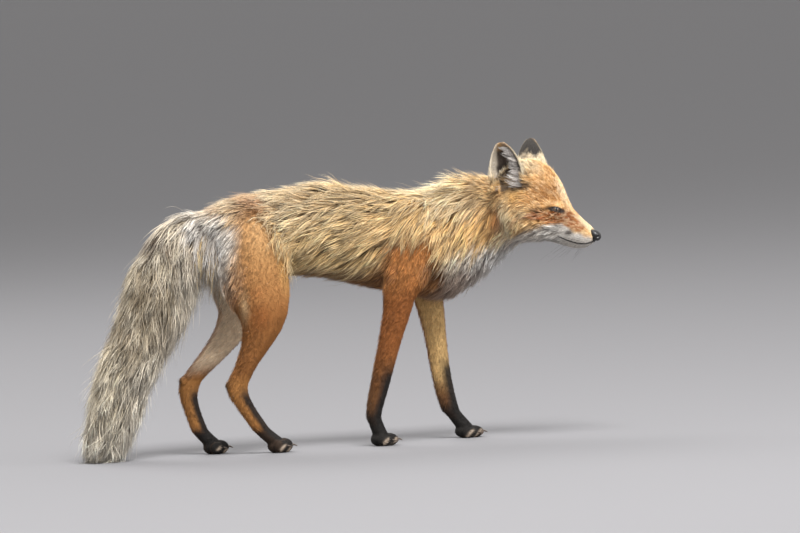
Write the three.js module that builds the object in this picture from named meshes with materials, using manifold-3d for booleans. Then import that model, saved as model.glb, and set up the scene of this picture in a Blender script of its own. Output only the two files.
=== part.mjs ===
// Adult red fox, life size, caught in a slow walk with its head low and turned a little to the right.
// Millimetres. +X runs towards the nose, +Y to the animal's left, +Z up. The soles stand on Z = 0, and the
// origin is under the middle of the body. Every outline is the outside of the coat.
//
// The body is built from lofts. A torso section is an upright ring, given by its top, its bottom, the height
// at which it is widest and its half width. A limb section is a ring square to the limb, given by its middle
// and its two half thicknesses. Neighbouring parts are parted by a cut of partingGap.
import * as THREE from 'three';
import { mergeVertices } from 'three/addons/utils/BufferGeometryUtils.js';
import Module from 'manifold-3d';

const wasm = await Module();
wasm.setup();

// ---- driving dimensions -------------------------------------------------------------------------------
const partingGap = 0.4;
const headGap = 0.8; // the neck and ears stand a little clear of the curved head
const headYaw = THREE.MathUtils.degToRad(-36); // the face is turned to the animal's right
const headRoot = new THREE.Vector3(265, -5, 0); // where the line of the head leaves the line of the neck
const soleTrack = 30; // from the midline to the middle of each sole
const solePress = 1.2; // how far a sole is flattened by the ground
const earHeight = 74;
const earBase = [44, 42, 386]; // in the frame of the head: forwards, outwards, up
const earLean = { right: [-0.1, 0.19, 1], left: [-0.02, 0.22, 1] }; // the left one is pricked further forward
const earOpening = THREE.MathUtils.degToRad(74); // from straight ahead to the way an ear faces
const earSkin = 3.4;
const eyeRadius = 8.6;
const eyePlace = [109.5, 20.5, 351.5]; // in the frame of the head
const heelHalf = 14.5; // half the width of a paw's heel
const heelRise = 12; // and half its height
const toeHalfWidth = 6.9;
const clawLength = 11;

const ringSides = { torso: 20, head: 20, tail: 14, limb: 9, nose: 10, claw: 4 };

const finish = {
  straw: new THREE.MeshStandardMaterial({ color: 0xc9a66b, roughness: 0.9 }),
  rust: new THREE.MeshStandardMaterial({ color: 0xbf7a3f, roughness: 0.9 }),
  brush: new THREE.MeshStandardMaterial({ color: 0xb9a68a, roughness: 0.95 }),
  stocking: new THREE.MeshStandardMaterial({ color: 0x2b2624, roughness: 0.85 }),
  shank: new THREE.MeshStandardMaterial({ color: 0xa8693a, roughness: 0.85 }),
  earBack: new THREE.MeshStandardMaterial({ color: 0x3a3434, roughness: 0.85 }),
  noseLeather: new THREE.MeshStandardMaterial({ color: 0x141212, roughness: 0.4 }),
  eye: new THREE.MeshStandardMaterial({ color: 0x3a2413, roughness: 0.08 }),
};

// ---- sections -----------------------------------------------------------------------------------------
// Torso rows: [x, y, yaw in degrees, top, bottom, height of the widest point, half width]
const trunkRows = [
  [-224, 0, 0, 366, 344, 356, 8],
  [-208, 0, 0, 377, 322, 354, 27],
  [-172, 0, 0, 390, 290, 345, 42],
  [-112, 0, 0, 403, 277, 340, 50],
  [-52, 0, 0, 408, 270, 335, 51],
  [0, 0, 0, 411, 259, 330, 54],
  [50, 0, 0, 401, 245, 322, 58],
  [100, 0, 0, 394, 232, 318, 59],
  [150, 0, -1, 390, 220, 312, 55],
  [192, 0, -2, 400, 219, 312, 49],
];
const neckRows = [
  [178, 0, -2, 398, 226, 314, 46],
  [192, 0, -2, 401, 221, 314, 49],
  [224, -1, -8, 408, 238, 325, 46],
  [252, -4, -17, 406, 259, 335, 44],
  [276, -11, -26, 405, 281, 344, 46],
  [292, -19, -28, 402, 296, 348, 42],
];
// Head rows: [along the head, top, bottom, height of the widest point, half width, squareness]
const headRows = [
  [6, 394, 318, 352, 30, 2.0],
  [17, 412, 304, 346, 48, 2.0],
  [36, 424, 299, 340, 57, 2.1],
  [57, 430, 300, 338, 57, 2.4],
  [76, 428, 300, 338, 49, 2.5],
  [92, 416, 299, 342, 38.5, 2.5],
  [107, 395, 296, 343, 28.5, 2.4],
  [120, 364, 292, 333, 22.5, 2.3],
  [131, 350, 289, 323, 20, 2.4],
  [144, 336, 289, 314, 18, 2.5],
  [156, 326, 293, 309, 16, 2.5],
  [165, 317, 300, 308, 11.5, 2.4],
  [169.5, 312, 303, 307, 7, 2.2],
];
// The nose leather, a rounded wedge at the end of the muzzle, in rows of the same kind.
const noseRows = [
  [160, 319, 304, 312, 6.5, 2.2],
  [165, 318, 300.5, 310.5, 8.4, 2.3],
  [169, 316, 299.5, 309.5, 8.6, 2.3],
  [172.5, 313.5, 301, 308.5, 6.6, 2.2],
  [174.2, 310.5, 304.5, 308, 3, 2],
];
// Limb rows: [x, distance from the midline, z, half thickness fore and aft, half thickness sideways]
const tailRows = [
  [-194, 0, 364, 20, 22],
  [-214, 0, 350, 27, 30],
  [-238, 0, 322, 42, 42],
  [-259, 0, 274, 61, 50],
  [-280, 0, 234, 63, 50],
  [-304, 0, 196, 50, 46],
  [-328, 0, 140, 46, 43],
  [-348, 0, 86, 43, 40],
  [-362, 0, 46, 37, 33],
  [-371, 0, 18, 27, 24],
  [-375, 0, 3, 17, 14],
];
const hindRows = {
  right: [
    [-142, 26, 374, 22, 10],
    [-134, 37, 345, 46, 23],
    [-127, 41, 300, 57, 29],
    [-122, 42, 255, 55, 28],
    [-117, 43, 215, 43, 24],
    [-126, 43, 180, 28, 19],
    [-142, 42, 148, 19, 14.5],
    [-155, 40, 123, 16.5, 12],
    [-162, 38, 104, 18, 11.5],
    [-154, 36, 82, 14, 10.5],
    [-139, 34, 56, 12.5, 10.5],
    [-122, 31, 29, 13, 12.5],
    [-112, 30, 13, 13, 14],
  ],
  left: [
    [-142, 26, 374, 22, 10],
    [-137, 37, 345, 46, 23],
    [-136, 41, 300, 54, 29],
    [-136, 42, 258, 48, 28],
    [-140, 43, 220, 36, 24],
    [-161, 43, 180, 24, 18],
    [-192, 42, 146, 18, 14],
    [-215, 40, 123, 15.5, 12],
    [-226, 38, 105, 17.5, 11.5],
    [-226, 36, 84, 14, 10.5],
    [-219, 34, 56, 13, 10.5],
    [-211, 31, 30, 13.5, 12.5],
    [-203, 30, 13, 13, 14],
  ],
};
const foreRows = {
  right: [
    [116, 36, 376, 20, 8],
    [121, 42, 342, 37, 17],
    [119, 45, 300, 42, 20],
    [108, 45, 262, 40, 20],
    [98, 43, 232, 30, 18],
    [93, 40, 204, 24, 15.5],
    [82, 37, 166, 20, 13.5],
    [71, 34, 126, 17.5, 12.5],
    [61, 32, 90, 15.5, 12],
    [52.5, 31, 60, 13.5, 12],
    [50, 30, 36, 12, 12.5],
    [55, 30, 15, 12.5, 14],
  ],
  left: [
    [140, 36, 374, 20, 8],
    [148, 42, 340, 37, 17],
    [154, 44, 298, 41, 20],
    [154, 44, 260, 37, 20],
    [158, 42, 228, 28, 18],
    [162, 39, 198, 23, 15.5],
    [166, 35, 157, 19, 13.5],
    [170, 33, 112, 16.5, 12.5],
    [176, 31, 70, 15.5, 12],
    [185, 30, 38, 13.5, 12.5],
    [197, 30, 15, 13, 14],
  ],
};
// Toes of a paw 50 long: [forwards of the heel, from the paw's midline, half length, lower than the knuckle]
const toeRows = [
  [30, 6.6, 14.5, 0],
  [21.5, 14.2, 13, 1],
];
const pawModule = 50;
// A claw: [share of its length, drop of its middle, half height]
const clawRows = [
  [0, 0, 2.3],
  [0.55, -0.5, 1.7],
  [1, -3.4, 0.5],
];
// An ear: a leaf rolled into a scoop. Its rims stand `rims` radians from its spine at the base and at the tip.
const earShape = { halfWidth: 24, tipWidth: 3, bluntness: 3.4, rims: [2.15, 1], arch: -6, depth: 0.8 };
const earGrid = { levels: 7, across: 7 };

// Where each limb is parted: the height of the cut under its upper and under its middle length.
const partingHeights = { hind: [196, 34], fore: [238, 40] };
// Paws: heel position along X, overall length and half the height of the middle toes.
const paws = {
  hind_right: { heel: -119, length: 46, knuckle: 12 },
  hind_left: { heel: -210, length: 46, knuckle: 11.5 },
  fore_right: { heel: 43, length: 50, knuckle: 10.5 },
  fore_left: { heel: 187, length: 52, knuckle: 10 },
};

// ---- small tools --------------------------------------------------------------------------------------
const catmullRom = (a, b, c, d, t) =>
  0.5 * (2 * b + (c - a) * t + (2 * a - 5 * b + 4 * c - d) * t * t + (3 * b - a - 3 * c + d) * t ** 3);

// Rows with `steps` rings between each two, every column running on one smooth curve.
function smoothRows(rows, steps) {
  const out = [];
  const row = (i) => rows[THREE.MathUtils.clamp(i, 0, rows.length - 1)];
  for (let i = 0; i < rows.length - 1; i++) {
    for (let k = 0; k < steps; k++) {
      const near = [row(i - 1), row(i), row(i + 1), row(i + 2)];
      out.push(rows[i].map((_, c) => catmullRom(...near.map((r) => r[c]), k / steps)));
    }
  }
  out.push(rows.at(-1));
  return out;
}

// A closed skin over rings of equal length, with a fan over each end.
function loftRings(rings) {
  const sides = rings[0].length;
  const middle = (ring) => ring.reduce((sum, p) => sum.add(p), new THREE.Vector3()).divideScalar(sides);
  const points = [...rings.flat(), middle(rings[0]), middle(rings.at(-1))];
  const index = [];
  for (let r = 0; r < rings.length - 1; r++) {
    for (let s = 0; s < sides; s++) {
      const a = r * sides + s;
      const b = r * sides + ((s + 1) % sides);
      index.push(a, b, b + sides, a, b + sides, a + sides);
    }
  }
  const last = (rings.length - 1) * sides;
  for (let s = 0; s < sides; s++) {
    const next = (s + 1) % sides;
    index.push(points.length - 2, next, s, points.length - 1, last + s, last + next);
  }
  return new THREE.BufferGeometry().setFromPoints(points).setIndex(index);
}

const power = (value, squareness) => Math.sign(value) * Math.abs(value) ** (2 / squareness);

// An upright ring: top, bottom and half width, widest at the height `widest`.
function uprightRing({ x, y, yaw, top, bottom, widest, half, squareness = 2 }, sides, grow) {
  const across = new THREE.Vector3(-Math.sin(yaw), Math.cos(yaw), 0);
  return Array.from({ length: sides }, (_, i) => {
    const angle = (i / sides) * Math.PI * 2;
    const rise = power(Math.sin(angle), squareness);
    const reach = rise > 0 ? top - widest + grow : widest - bottom + grow;
    return new THREE.Vector3(x, y, widest + rise * reach)
      .addScaledVector(across, power(Math.cos(angle), squareness) * (half + grow));
  });
}

// A torso length, from rows of trunkRows' kind. Growing it also moves its two ends outwards.
function torso(rows, { steps = 2, sides = ringSides.torso, grow = 0 } = {}) {
  const dense = smoothRows(rows, steps);
  const rings = dense.map(([x, y, degrees, top, bottom, widest, half, squareness], i) => {
    const yaw = THREE.MathUtils.degToRad(degrees);
    const push = i === 0 ? -grow : i === dense.length - 1 ? grow : 0;
    const at = { x: x + Math.cos(yaw) * push, y: y + Math.sin(yaw) * push };
    return uprightRing({ ...at, yaw, top, bottom, widest, half, squareness }, sides, grow);
  });
  return loftRings(rings);
}

const upwards = new THREE.Vector3(0, 0, 1);
const alongHead = (s) => new THREE.Vector3(s, 0, 0).applyAxisAngle(upwards, headYaw).add(headRoot);

// A length of the head, from rows of headRows' kind.
function headPiece(rows, options) {
  const placedRows = rows.map(([s, ...rest]) => {
    const at = alongHead(s);
    return [at.x, at.y, THREE.MathUtils.radToDeg(headYaw), ...rest];
  });
  return solid(torso(placedRows, options));
}

// A limb, from rows of tailRows' kind. side is -1 for the right, +1 for the left.
function limb(rows, side, { steps = 2, sides = ringSides.limb, grow = 0 } = {}) {
  const dense = smoothRows(rows, steps);
  const centres = dense.map(([x, out, z]) => new THREE.Vector3(x, side * out, z));
  const last = centres.length - 1;
  const rings = dense.map(([, , , fore, wide], i) => {
    const along = centres[Math.min(i + 1, last)].clone().sub(centres[Math.max(i - 1, 0)]).normalize();
    const foreAxis = new THREE.Vector3(0, 1, 0).cross(along).normalize();
    const wideAxis = along.clone().cross(foreAxis);
    return Array.from({ length: sides }, (_, k) => {
      const angle = (k / sides) * Math.PI * 2;
      return centres[i].clone()
        .addScaledVector(foreAxis, Math.cos(angle) * (fore + grow))
        .addScaledVector(wideAxis, Math.sin(angle) * (wide + grow));
    });
  });
  return loftRings(rings);
}

// A geometry as a manifold-3d solid, turned to face outwards.
function solid(geometry) {
  const bare = geometry.clone();
  bare.deleteAttribute('normal');
  bare.deleteAttribute('uv');
  const merged = mergeVertices(bare, 1e-4);
  const make = (triVerts) => new wasm.Manifold(new wasm.Mesh({
    numProp: 3, vertProperties: merged.attributes.position.array, triVerts,
  }));
  const triVerts = new Uint32Array(merged.index.array);
  const made = make(triVerts);
  return made.volume() > 0 ? made : make(triVerts.reverse());
}

const joined = (solids) => solids.reduce((sum, next) => sum.add(next));
const placed = (geometry, matrix) => geometry.clone().applyMatrix4(matrix);

function ellipsoid([x, y, z], [rx, ry, rz], around = 8, down = 4) {
  const matrix = new THREE.Matrix4().makeTranslation(x, y, z).scale(new THREE.Vector3(rx, ry, rz));
  return solid(placed(new THREE.SphereGeometry(1, around, down), matrix));
}

// Everything below (or above) a height, as a block that covers the whole animal.
function block(below, height) {
  const size = 2000;
  const box = new THREE.BoxGeometry(size, size, size);
  return solid(box.translate(0, 0, height + (below ? -size / 2 : size / 2)));
}

// ---- parts --------------------------------------------------------------------------------------------
const grownTrunk = solid(torso(trunkRows, { grow: partingGap }));

// The frame of the head, mirrored for its left side.
function headFrame(side) {
  const frame = new THREE.Matrix4().makeRotationZ(headYaw).setPosition(headRoot);
  return frame.multiply(new THREE.Matrix4().makeScale(1, side, 1));
}

function eyeball(side, grow = 0) {
  const radius = eyeRadius + grow;
  const ball = new THREE.SphereGeometry(radius, 10, 6).translate(...eyePlace);
  return solid(placed(ball, headFrame(side)));
}

function ear(hand, side) {
  const { halfWidth, tipWidth, bluntness, rims, arch, depth } = earShape;
  const { levels, across } = earGrid;
  const innermost = 0.6; // the lining never folds through itself at the tip
  const lean = new THREE.Vector3(...earLean[hand]).normalize();
  const facing = new THREE.Vector3(Math.cos(earOpening), Math.sin(earOpening), 0);
  facing.addScaledVector(lean, -facing.dot(lean)).normalize();
  const sideways = new THREE.Vector3().crossVectors(lean, facing);
  const surface = (inset) => Array.from({ length: levels }, (_, i) => {
    const t = i / (levels - 1);
    const width = halfWidth * (1 - t ** bluntness) + tipWidth;
    const rim = THREE.MathUtils.lerp(...rims, t);
    const radius = Math.max(width / Math.sin(Math.min(rim, Math.PI / 2)) - inset, innermost);
    const axis = new THREE.Vector3(...earBase)
      .addScaledVector(lean, t * (earHeight - inset / 2))
      .addScaledVector(facing, arch * t);
    return Array.from({ length: across }, (_, k) => {
      const angle = rim * (2 * (k / (across - 1)) - 1);
      return axis.clone()
        .addScaledVector(sideways, Math.sin(angle) * radius)
        .addScaledVector(facing, -Math.cos(angle) * radius * depth);
    });
  });
  const outer = surface(0);
  const inner = surface(earSkin);
  // Each level is one closed ring: out along the back of the ear and home along its lining.
  const rings = outer.map((row, i) => [...row, ...[...inner[i]].reverse()]);
  return solid(placed(loftRings(rings), headFrame(side)));
}

function claw([x, y, z]) {
  const narrow = 0.7; // a claw is deeper than it is wide
  const rings = clawRows.map(([t, drop, half]) =>
    Array.from({ length: ringSides.claw }, (_, k) => {
      const angle = (k / ringSides.claw) * Math.PI * 2;
      const sideways = Math.cos(angle) * half * narrow;
      return new THREE.Vector3(x + t * clawLength, y + sideways, z + drop + Math.sin(angle) * half);
    }));
  return solid(loftRings(rings));
}

// A paw, made heel first at the origin and flattened where it presses on the ground.
function paw({ heel, length, knuckle }, side) {
  const share = length / pawModule;
  const toes = toeRows.flatMap(([x, out, reach, lower]) =>
    [-1, 1].map((hand) => ({ x, y: hand * out, reach, rise: knuckle - lower })));
  const clawRoot = 4; // how far a claw starts inside its toe
  const pieces = [
    ellipsoid([heelRise * share, 0, heelRise - solePress], [heelHalf * share, heelHalf, heelRise], 9, 5),
    ...toes.map(({ x, y, reach, rise }) =>
      ellipsoid([x * share, y, rise - solePress], [reach * share, toeHalfWidth, rise])),
    ...toes.map(({ x, y, reach, rise }) => claw([(x + reach - clawRoot) * share, y, rise])),
  ];
  return joined(pieces).translate([heel, side * soleTrack, 0]).subtract(block(true, 0));
}

function leg(kind, hand, side, rows, neighbours) {
  const [upperCut, lowerCut] = partingHeights[kind];
  const whole = neighbours.reduce((rest, cutter) => rest.subtract(cutter), solid(limb(rows, side)));
  const ankle = whole.subtract(block(false, lowerCut - partingGap / 2));
  const foot = joined([ankle, paw(paws[`${kind}_${hand}`], side)]).subtract(block(true, 0));
  const shaft = whole.subtract(block(true, lowerCut + partingGap / 2));
  const middle = shaft.subtract(block(false, upperCut - partingGap / 2));
  const upper = shaft.subtract(block(true, upperCut + partingGap / 2));
  return { upper, middle, foot };
}

// Cutting can leave slivers: only the main piece is kept.
const largest = (made) => made.decompose().reduce((a, b) => (b.volume() > a.volume() ? b : a));

function meshOf(name, made, material) {
  const { vertProperties, triVerts, numProp } = largest(made).getMesh();
  const geometry = new THREE.BufferGeometry()
    .setAttribute('position', new THREE.BufferAttribute(new Float32Array(vertProperties), numProp))
    .setIndex(new THREE.BufferAttribute(new Uint32Array(triVerts), 1));
  geometry.computeVertexNormals();
  const mesh = new THREE.Mesh(geometry, material);
  mesh.name = name;
  return mesh;
}

// ---- the animal ---------------------------------------------------------------------------------------
const fox = new THREE.Group();
const grownHead = headPiece(headRows, { sides: ringSides.head, grow: headGap });
const grownNeck = solid(torso(neckRows, { grow: partingGap }));

const eyes = { right: eyeball(-1), left: eyeball(1) };
const nose = headPiece(noseRows, { steps: 1, sides: ringSides.nose });
const noseCut = headPiece(noseRows, { steps: 1, sides: ringSides.nose, grow: partingGap });
const head = headPiece(headRows, { sides: ringSides.head })
  .subtract(eyeball(-1, partingGap))
  .subtract(eyeball(1, partingGap))
  .subtract(noseCut);

fox.add(meshOf('trunk', solid(torso(trunkRows)), finish.straw));
fox.add(meshOf('neck', solid(torso(neckRows)).subtract(grownTrunk).subtract(grownHead), finish.straw));
fox.add(meshOf('head', head, finish.rust));
fox.add(meshOf('nose', nose, finish.noseLeather));
const brush = solid(limb(tailRows, 1, { sides: ringSides.tail })).subtract(grownTrunk).subtract(block(true, 0));
fox.add(meshOf('tail', brush, finish.brush));

for (const [hand, side] of [['right', -1], ['left', 1]]) {
  fox.add(meshOf(`eye_${hand}`, eyes[hand], finish.eye));
  fox.add(meshOf(`ear_${hand}`, ear(hand, side).subtract(grownHead).subtract(grownNeck), finish.earBack));
  const hind = leg('hind', hand, side, hindRows[hand], [grownTrunk]);
  fox.add(meshOf(`thigh_${hand}`, hind.upper, finish.rust));
  fox.add(meshOf(`hind_shank_${hand}`, hind.middle, finish.shank));
  fox.add(meshOf(`hind_paw_${hand}`, hind.foot, finish.stocking));
  const fore = leg('fore', hand, side, foreRows[hand], [grownTrunk, grownNeck]);
  fox.add(meshOf(`shoulder_${hand}`, fore.upper, finish.rust));
  fox.add(meshOf(`forearm_${hand}`, fore.middle, finish.shank));
  fox.add(meshOf(`fore_paw_${hand}`, fore.foot, finish.stocking));
}

// The origin goes under the middle of the animal, on the ground.
const box = new THREE.Box3().setFromObject(fox);
fox.position.set(-(box.min.x + box.max.x) / 2, -(box.min.y + box.max.y) / 2, -box.min.z);

export default fox;
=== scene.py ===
import bpy
import math
import numpy as np
from mathutils import Matrix, Vector
from mathutils.kdtree import KDTree


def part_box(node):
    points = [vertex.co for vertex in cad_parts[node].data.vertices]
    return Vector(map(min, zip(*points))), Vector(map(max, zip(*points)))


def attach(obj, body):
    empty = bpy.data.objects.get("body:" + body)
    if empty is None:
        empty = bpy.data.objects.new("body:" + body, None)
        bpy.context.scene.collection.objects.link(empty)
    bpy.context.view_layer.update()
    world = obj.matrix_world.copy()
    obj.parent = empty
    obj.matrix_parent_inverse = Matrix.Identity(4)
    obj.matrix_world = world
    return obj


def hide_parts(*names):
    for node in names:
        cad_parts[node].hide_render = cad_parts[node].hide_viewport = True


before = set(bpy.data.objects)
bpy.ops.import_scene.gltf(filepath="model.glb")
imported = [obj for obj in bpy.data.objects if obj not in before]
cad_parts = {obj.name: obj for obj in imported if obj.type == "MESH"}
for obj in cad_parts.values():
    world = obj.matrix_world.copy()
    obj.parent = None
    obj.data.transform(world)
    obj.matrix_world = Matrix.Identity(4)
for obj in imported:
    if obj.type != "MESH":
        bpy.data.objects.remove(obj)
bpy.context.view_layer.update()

mm = 0.001
dice = np.random.default_rng(20)


def report(stage):
    print("fox:", stage)


def linear(hexColour):
    shares = [int(hexColour[i:i + 2], 16) / 255 for i in (1, 3, 5)]
    return [s / 12.92 if s <= 0.04045 else ((s + 0.055) / 1.055) ** 2.4 for s in shares]


def unit(vectors):
    return vectors / np.maximum(np.linalg.norm(vectors, axis=-1, keepdims=True), 1e-12)


def step(low, high, x):
    t = np.clip((np.asarray(x, float) - low) / (high - low), 0, 1)
    return t * t * (3 - 2 * t)


def bell(x, middle, spread):
    return np.exp(-(((np.asarray(x, float) - middle) / spread) ** 2))


def addNode(tree, kind, settings=None, values=None, links=None):
    node = tree.nodes.new(kind)
    for name, value in (settings or {}).items():
        setattr(node, name, value)
    for socket, value in (values or {}).items():
        node.inputs[socket].default_value = value
    for socket, source in (links or {}).items():
        tree.links.new(source, node.inputs[socket])
    return node


def newMaterial(name):
    material = bpy.data.materials.new(name)
    material.use_nodes = True
    material.node_tree.nodes.clear()
    return material, material.node_tree


def newObject(name, points, faces, material=None, smooth=True):
    mesh = bpy.data.meshes.new(name)
    groups = faces if isinstance(faces, (list, tuple)) else [faces]
    corners = np.concatenate([np.asarray(g).ravel() for g in groups]).astype(np.int32)
    sizes = np.concatenate([np.full(len(g), np.asarray(g).shape[1]) for g in groups])
    mesh.vertices.add(len(points))
    mesh.vertices.foreach_set("co", np.asarray(points, np.float32).ravel())
    mesh.loops.add(len(corners))
    mesh.loops.foreach_set("vertex_index", corners)
    mesh.polygons.add(len(sizes))
    mesh.polygons.foreach_set("loop_start", np.concatenate([[0], np.cumsum(sizes)[:-1]]).astype(np.int32))
    mesh.update(calc_edges=True)
    mesh.polygons.foreach_set("use_smooth", np.full(len(sizes), smooth))
    made = bpy.data.objects.new(name, mesh)
    bpy.context.scene.collection.objects.link(made)
    if material:
        mesh.materials.append(material)
    return made


def meshArrays(mesh):
    points = np.empty(len(mesh.vertices) * 3)
    mesh.vertices.foreach_get("co", points)
    mesh.calc_loop_triangles()
    triangles = np.empty(len(mesh.loop_triangles) * 3, np.int64)
    mesh.loop_triangles.foreach_get("vertices", triangles)
    return points.reshape(-1, 3), triangles.reshape(-1, 3)


def vertexNormals(points, triangles):
    a, b, c = (points[triangles[:, i]] for i in range(3))
    facing = np.cross(b - a, c - a)
    total = np.zeros_like(points)
    for corner in range(3):
        for axis in range(3):
            total[:, axis] += np.bincount(triangles[:, corner], facing[:, axis], len(points))
    return unit(total)


def edgePairs(triangles):
    pairs = np.concatenate([triangles[:, [0, 1]], triangles[:, [1, 2]], triangles[:, [2, 0]]])
    pairs = np.sort(pairs, axis=1)
    count = int(triangles.max()) + 1
    codes = np.unique(pairs[:, 0] * count + pairs[:, 1])
    return np.stack([codes // count, codes % count], axis=1)


def relax(values, pairs, rounds, strength):
    values = np.array(values, float)
    flat = values.reshape(len(values), -1)
    count = np.bincount(pairs.ravel(), minlength=len(values))[:, None]
    pull = np.broadcast_to(np.asarray(strength, float).reshape(-1, 1), (len(values), 1))
    for _ in range(rounds):
        total = np.zeros_like(flat)
        for axis in range(flat.shape[1]):
            total[:, axis] = (np.bincount(pairs[:, 0], flat[pairs[:, 1], axis], len(values))
                              + np.bincount(pairs[:, 1], flat[pairs[:, 0], axis], len(values)))
        flat += (total / np.maximum(count, 1) - flat) * pull
    return flat.reshape(values.shape)


noiseTable = dice.random(4096)
noisePrimes = np.array([73856093, 19349663, 83492791])


def noise(points, size, seed=0):
    # smooth random values from 0 to 1, one lump every `size` metres
    place = np.asarray(points) / size + seed * 17.3
    cell = np.floor(place).astype(np.int64)
    part = place - cell
    part = part * part * (3 - 2 * part)
    total = 0
    for dx in (0, 1):
        for dy in (0, 1):
            for dz in (0, 1):
                code = np.bitwise_xor.reduce((cell + [dx, dy, dz]) * noisePrimes, axis=1)
                share = np.where([dx, dy, dz], part, 1 - part).prod(axis=1)
                total = total + noiseTable[(code + seed * 911) & 4095] * share
    return total


# Body places are in millimetres: x forwards, y to the left, z up, with y = 0 midway between the feet.

trunkLow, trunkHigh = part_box("trunk")
soleY = [sum(v.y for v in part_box("fore_paw_" + hand)) / 2 for hand in ("right", "left")]
rearOfTrunk = -224
bodyShift = np.array([trunkLow.x - rearOfTrunk * mm, sum(soleY) / 2, 0])


def place(x, y, z):
    return np.array([x, y, z]) * mm + bodyShift


def inBody(points):
    return (points - bodyShift) / mm


eyeCentres = {hand: np.array(sum(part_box("eye_" + hand), Vector()) / 2) for hand in ("right", "left")}
headLeft = unit(eyeCentres["left"] - eyeCentres["right"])
headAhead = np.cross(headLeft, [0, 0, 1])
headMiddle = (eyeCentres["left"] + eyeCentres["right"]) / 2
# Head places are in millimetres: along the head from the nape, out to its left, and up from the floor.
eyeAlong = 109.5


def onHead(along, out, up):
    flat = headMiddle + (along - eyeAlong) * mm * headAhead + out * mm * headLeft
    return np.array([flat[0], flat[1], up * mm])


def inHead(points):
    rest = points - headMiddle
    return np.stack([rest @ headAhead / mm + eyeAlong, rest @ headLeft / mm, points[:, 2] / mm], axis=1)


cameraSetup = {"azimuth": -10, "elevation": 3, "roll": 3, "lens": 400, "sensor": 36, "nearest": 0.5,
               "furthest": 400, "frameWidth": 800, "frameHeight": 533, "groundPixel": (340, 447),
               "metresPerPixel": 0.00155}


def makeCamera():
    s = cameraSetup
    azimuth, elevation, roll = (math.radians(s[k]) for k in ("azimuth", "elevation", "roll"))
    flat = math.cos(elevation)
    back = Vector((math.sin(azimuth) * flat, -math.cos(azimuth) * flat, math.sin(elevation)))
    level = Vector((math.cos(azimuth), math.sin(azimuth), 0))
    upright = back.cross(level)
    right = level * math.cos(roll) - upright * math.sin(roll)
    up = level * math.sin(roll) + upright * math.cos(roll)
    distance = s["metresPerPixel"] * s["lens"] / s["sensor"] * s["frameWidth"]
    acrossTo = (s["groundPixel"][0] - s["frameWidth"] / 2) * s["metresPerPixel"]
    upTo = (s["frameHeight"] / 2 - s["groundPixel"][1]) * s["metresPerPixel"]
    spot = Vector(place(0, 0, 0)) + back * distance - right * acrossTo - up * upTo
    data = bpy.data.cameras.new("camera")
    data.lens = s["lens"]
    data.sensor_width = s["sensor"]
    data.clip_start = s["nearest"]
    data.clip_end = s["furthest"]
    camera = bpy.data.objects.new("camera", data)
    bpy.context.scene.collection.objects.link(camera)
    axes = Matrix((right, up, back)).transposed()
    camera.matrix_world = Matrix.Translation(spot) @ axes.to_4x4()
    bpy.context.scene.camera = camera


studio = {"floorHalf": 120, "floorColour": "#717072", "paintRoughness": 0.9, "paintIor": 1.45,
          "skyColour": "#F5F4F3", "skyStrength": 0.9, "lampAim": (0, 0, 0.25),
          "lamps": [  # name, place, size, power
              ("keyLamp", (0.4, -2.6, 5.0), 2.4, 560),
              ("fillLamp", (3.8, -2.6, 2.0), 3.0, 90),
              ("backLamp", (-1.5, 3.6, 4.0), 3.0, 190),
          ]}


def makeStudio():
    half = studio["floorHalf"]
    corners = np.array([[-half, -half, 0], [half, -half, 0], [half, half, 0], [-half, half, 0]], float)
    material, tree = newMaterial("matt studio paint, rolled")
    # a rolled matt paint: even and pale, with no gloss
    values = {"Base Color": linear(studio["floorColour"]) + [1], "Roughness": studio["paintRoughness"],
              "IOR": studio["paintIor"]}
    shader = addNode(tree, "ShaderNodeBsdfPrincipled", values=values)
    addNode(tree, "ShaderNodeOutputMaterial", links={"Surface": shader.outputs[0]})
    floor = newObject("studio_floor", corners, np.array([[0, 1, 2, 3]]), material, smooth=False)
    world = bpy.data.worlds.new("studio")
    bpy.context.scene.world = world
    world.use_nodes = True
    sky = world.node_tree.nodes["Background"]
    sky.inputs["Color"].default_value = linear(studio["skyColour"]) + [1]
    sky.inputs["Strength"].default_value = studio["skyStrength"]
    for name, spot, size, power in studio["lamps"]:
        data = bpy.data.lights.new(name, "AREA")
        data.size = size
        data.energy = power
        lamp = bpy.data.objects.new(name, data)
        bpy.context.scene.collection.objects.link(lamp)
        lamp.location = spot
        lamp.rotation_mode = "QUATERNION"
        lamp.rotation_quaternion = (Vector(studio["lampAim"]) - Vector(spot)).to_track_quat("-Z", "Y")
    bpy.context.scene.view_settings.view_transform = "Standard"


makeCamera()
makeStudio()
report("camera and studio are up")


weldGap = 1e-6  # the solids of the frame come with split corners
nodeShape = {}
for name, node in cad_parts.items():
    found, corners = meshArrays(node.data)
    rounded = np.round(found / weldGap).astype(np.int64)
    _, first, index = np.unique(rounded, axis=0, return_index=True, return_inverse=True)
    nodeShape[name] = (found[first], index.ravel()[corners])

sides = {"right": -1, "left": 1}
pairedNodes = ("thigh", "hind_shank", "hind_paw", "shoulder", "forearm", "fore_paw", "ear")
fleshNodes = ["trunk", "neck", "head", "tail"]
fleshNodes += [part + "_" + hand for hand in sides for part in pairedNodes]

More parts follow.
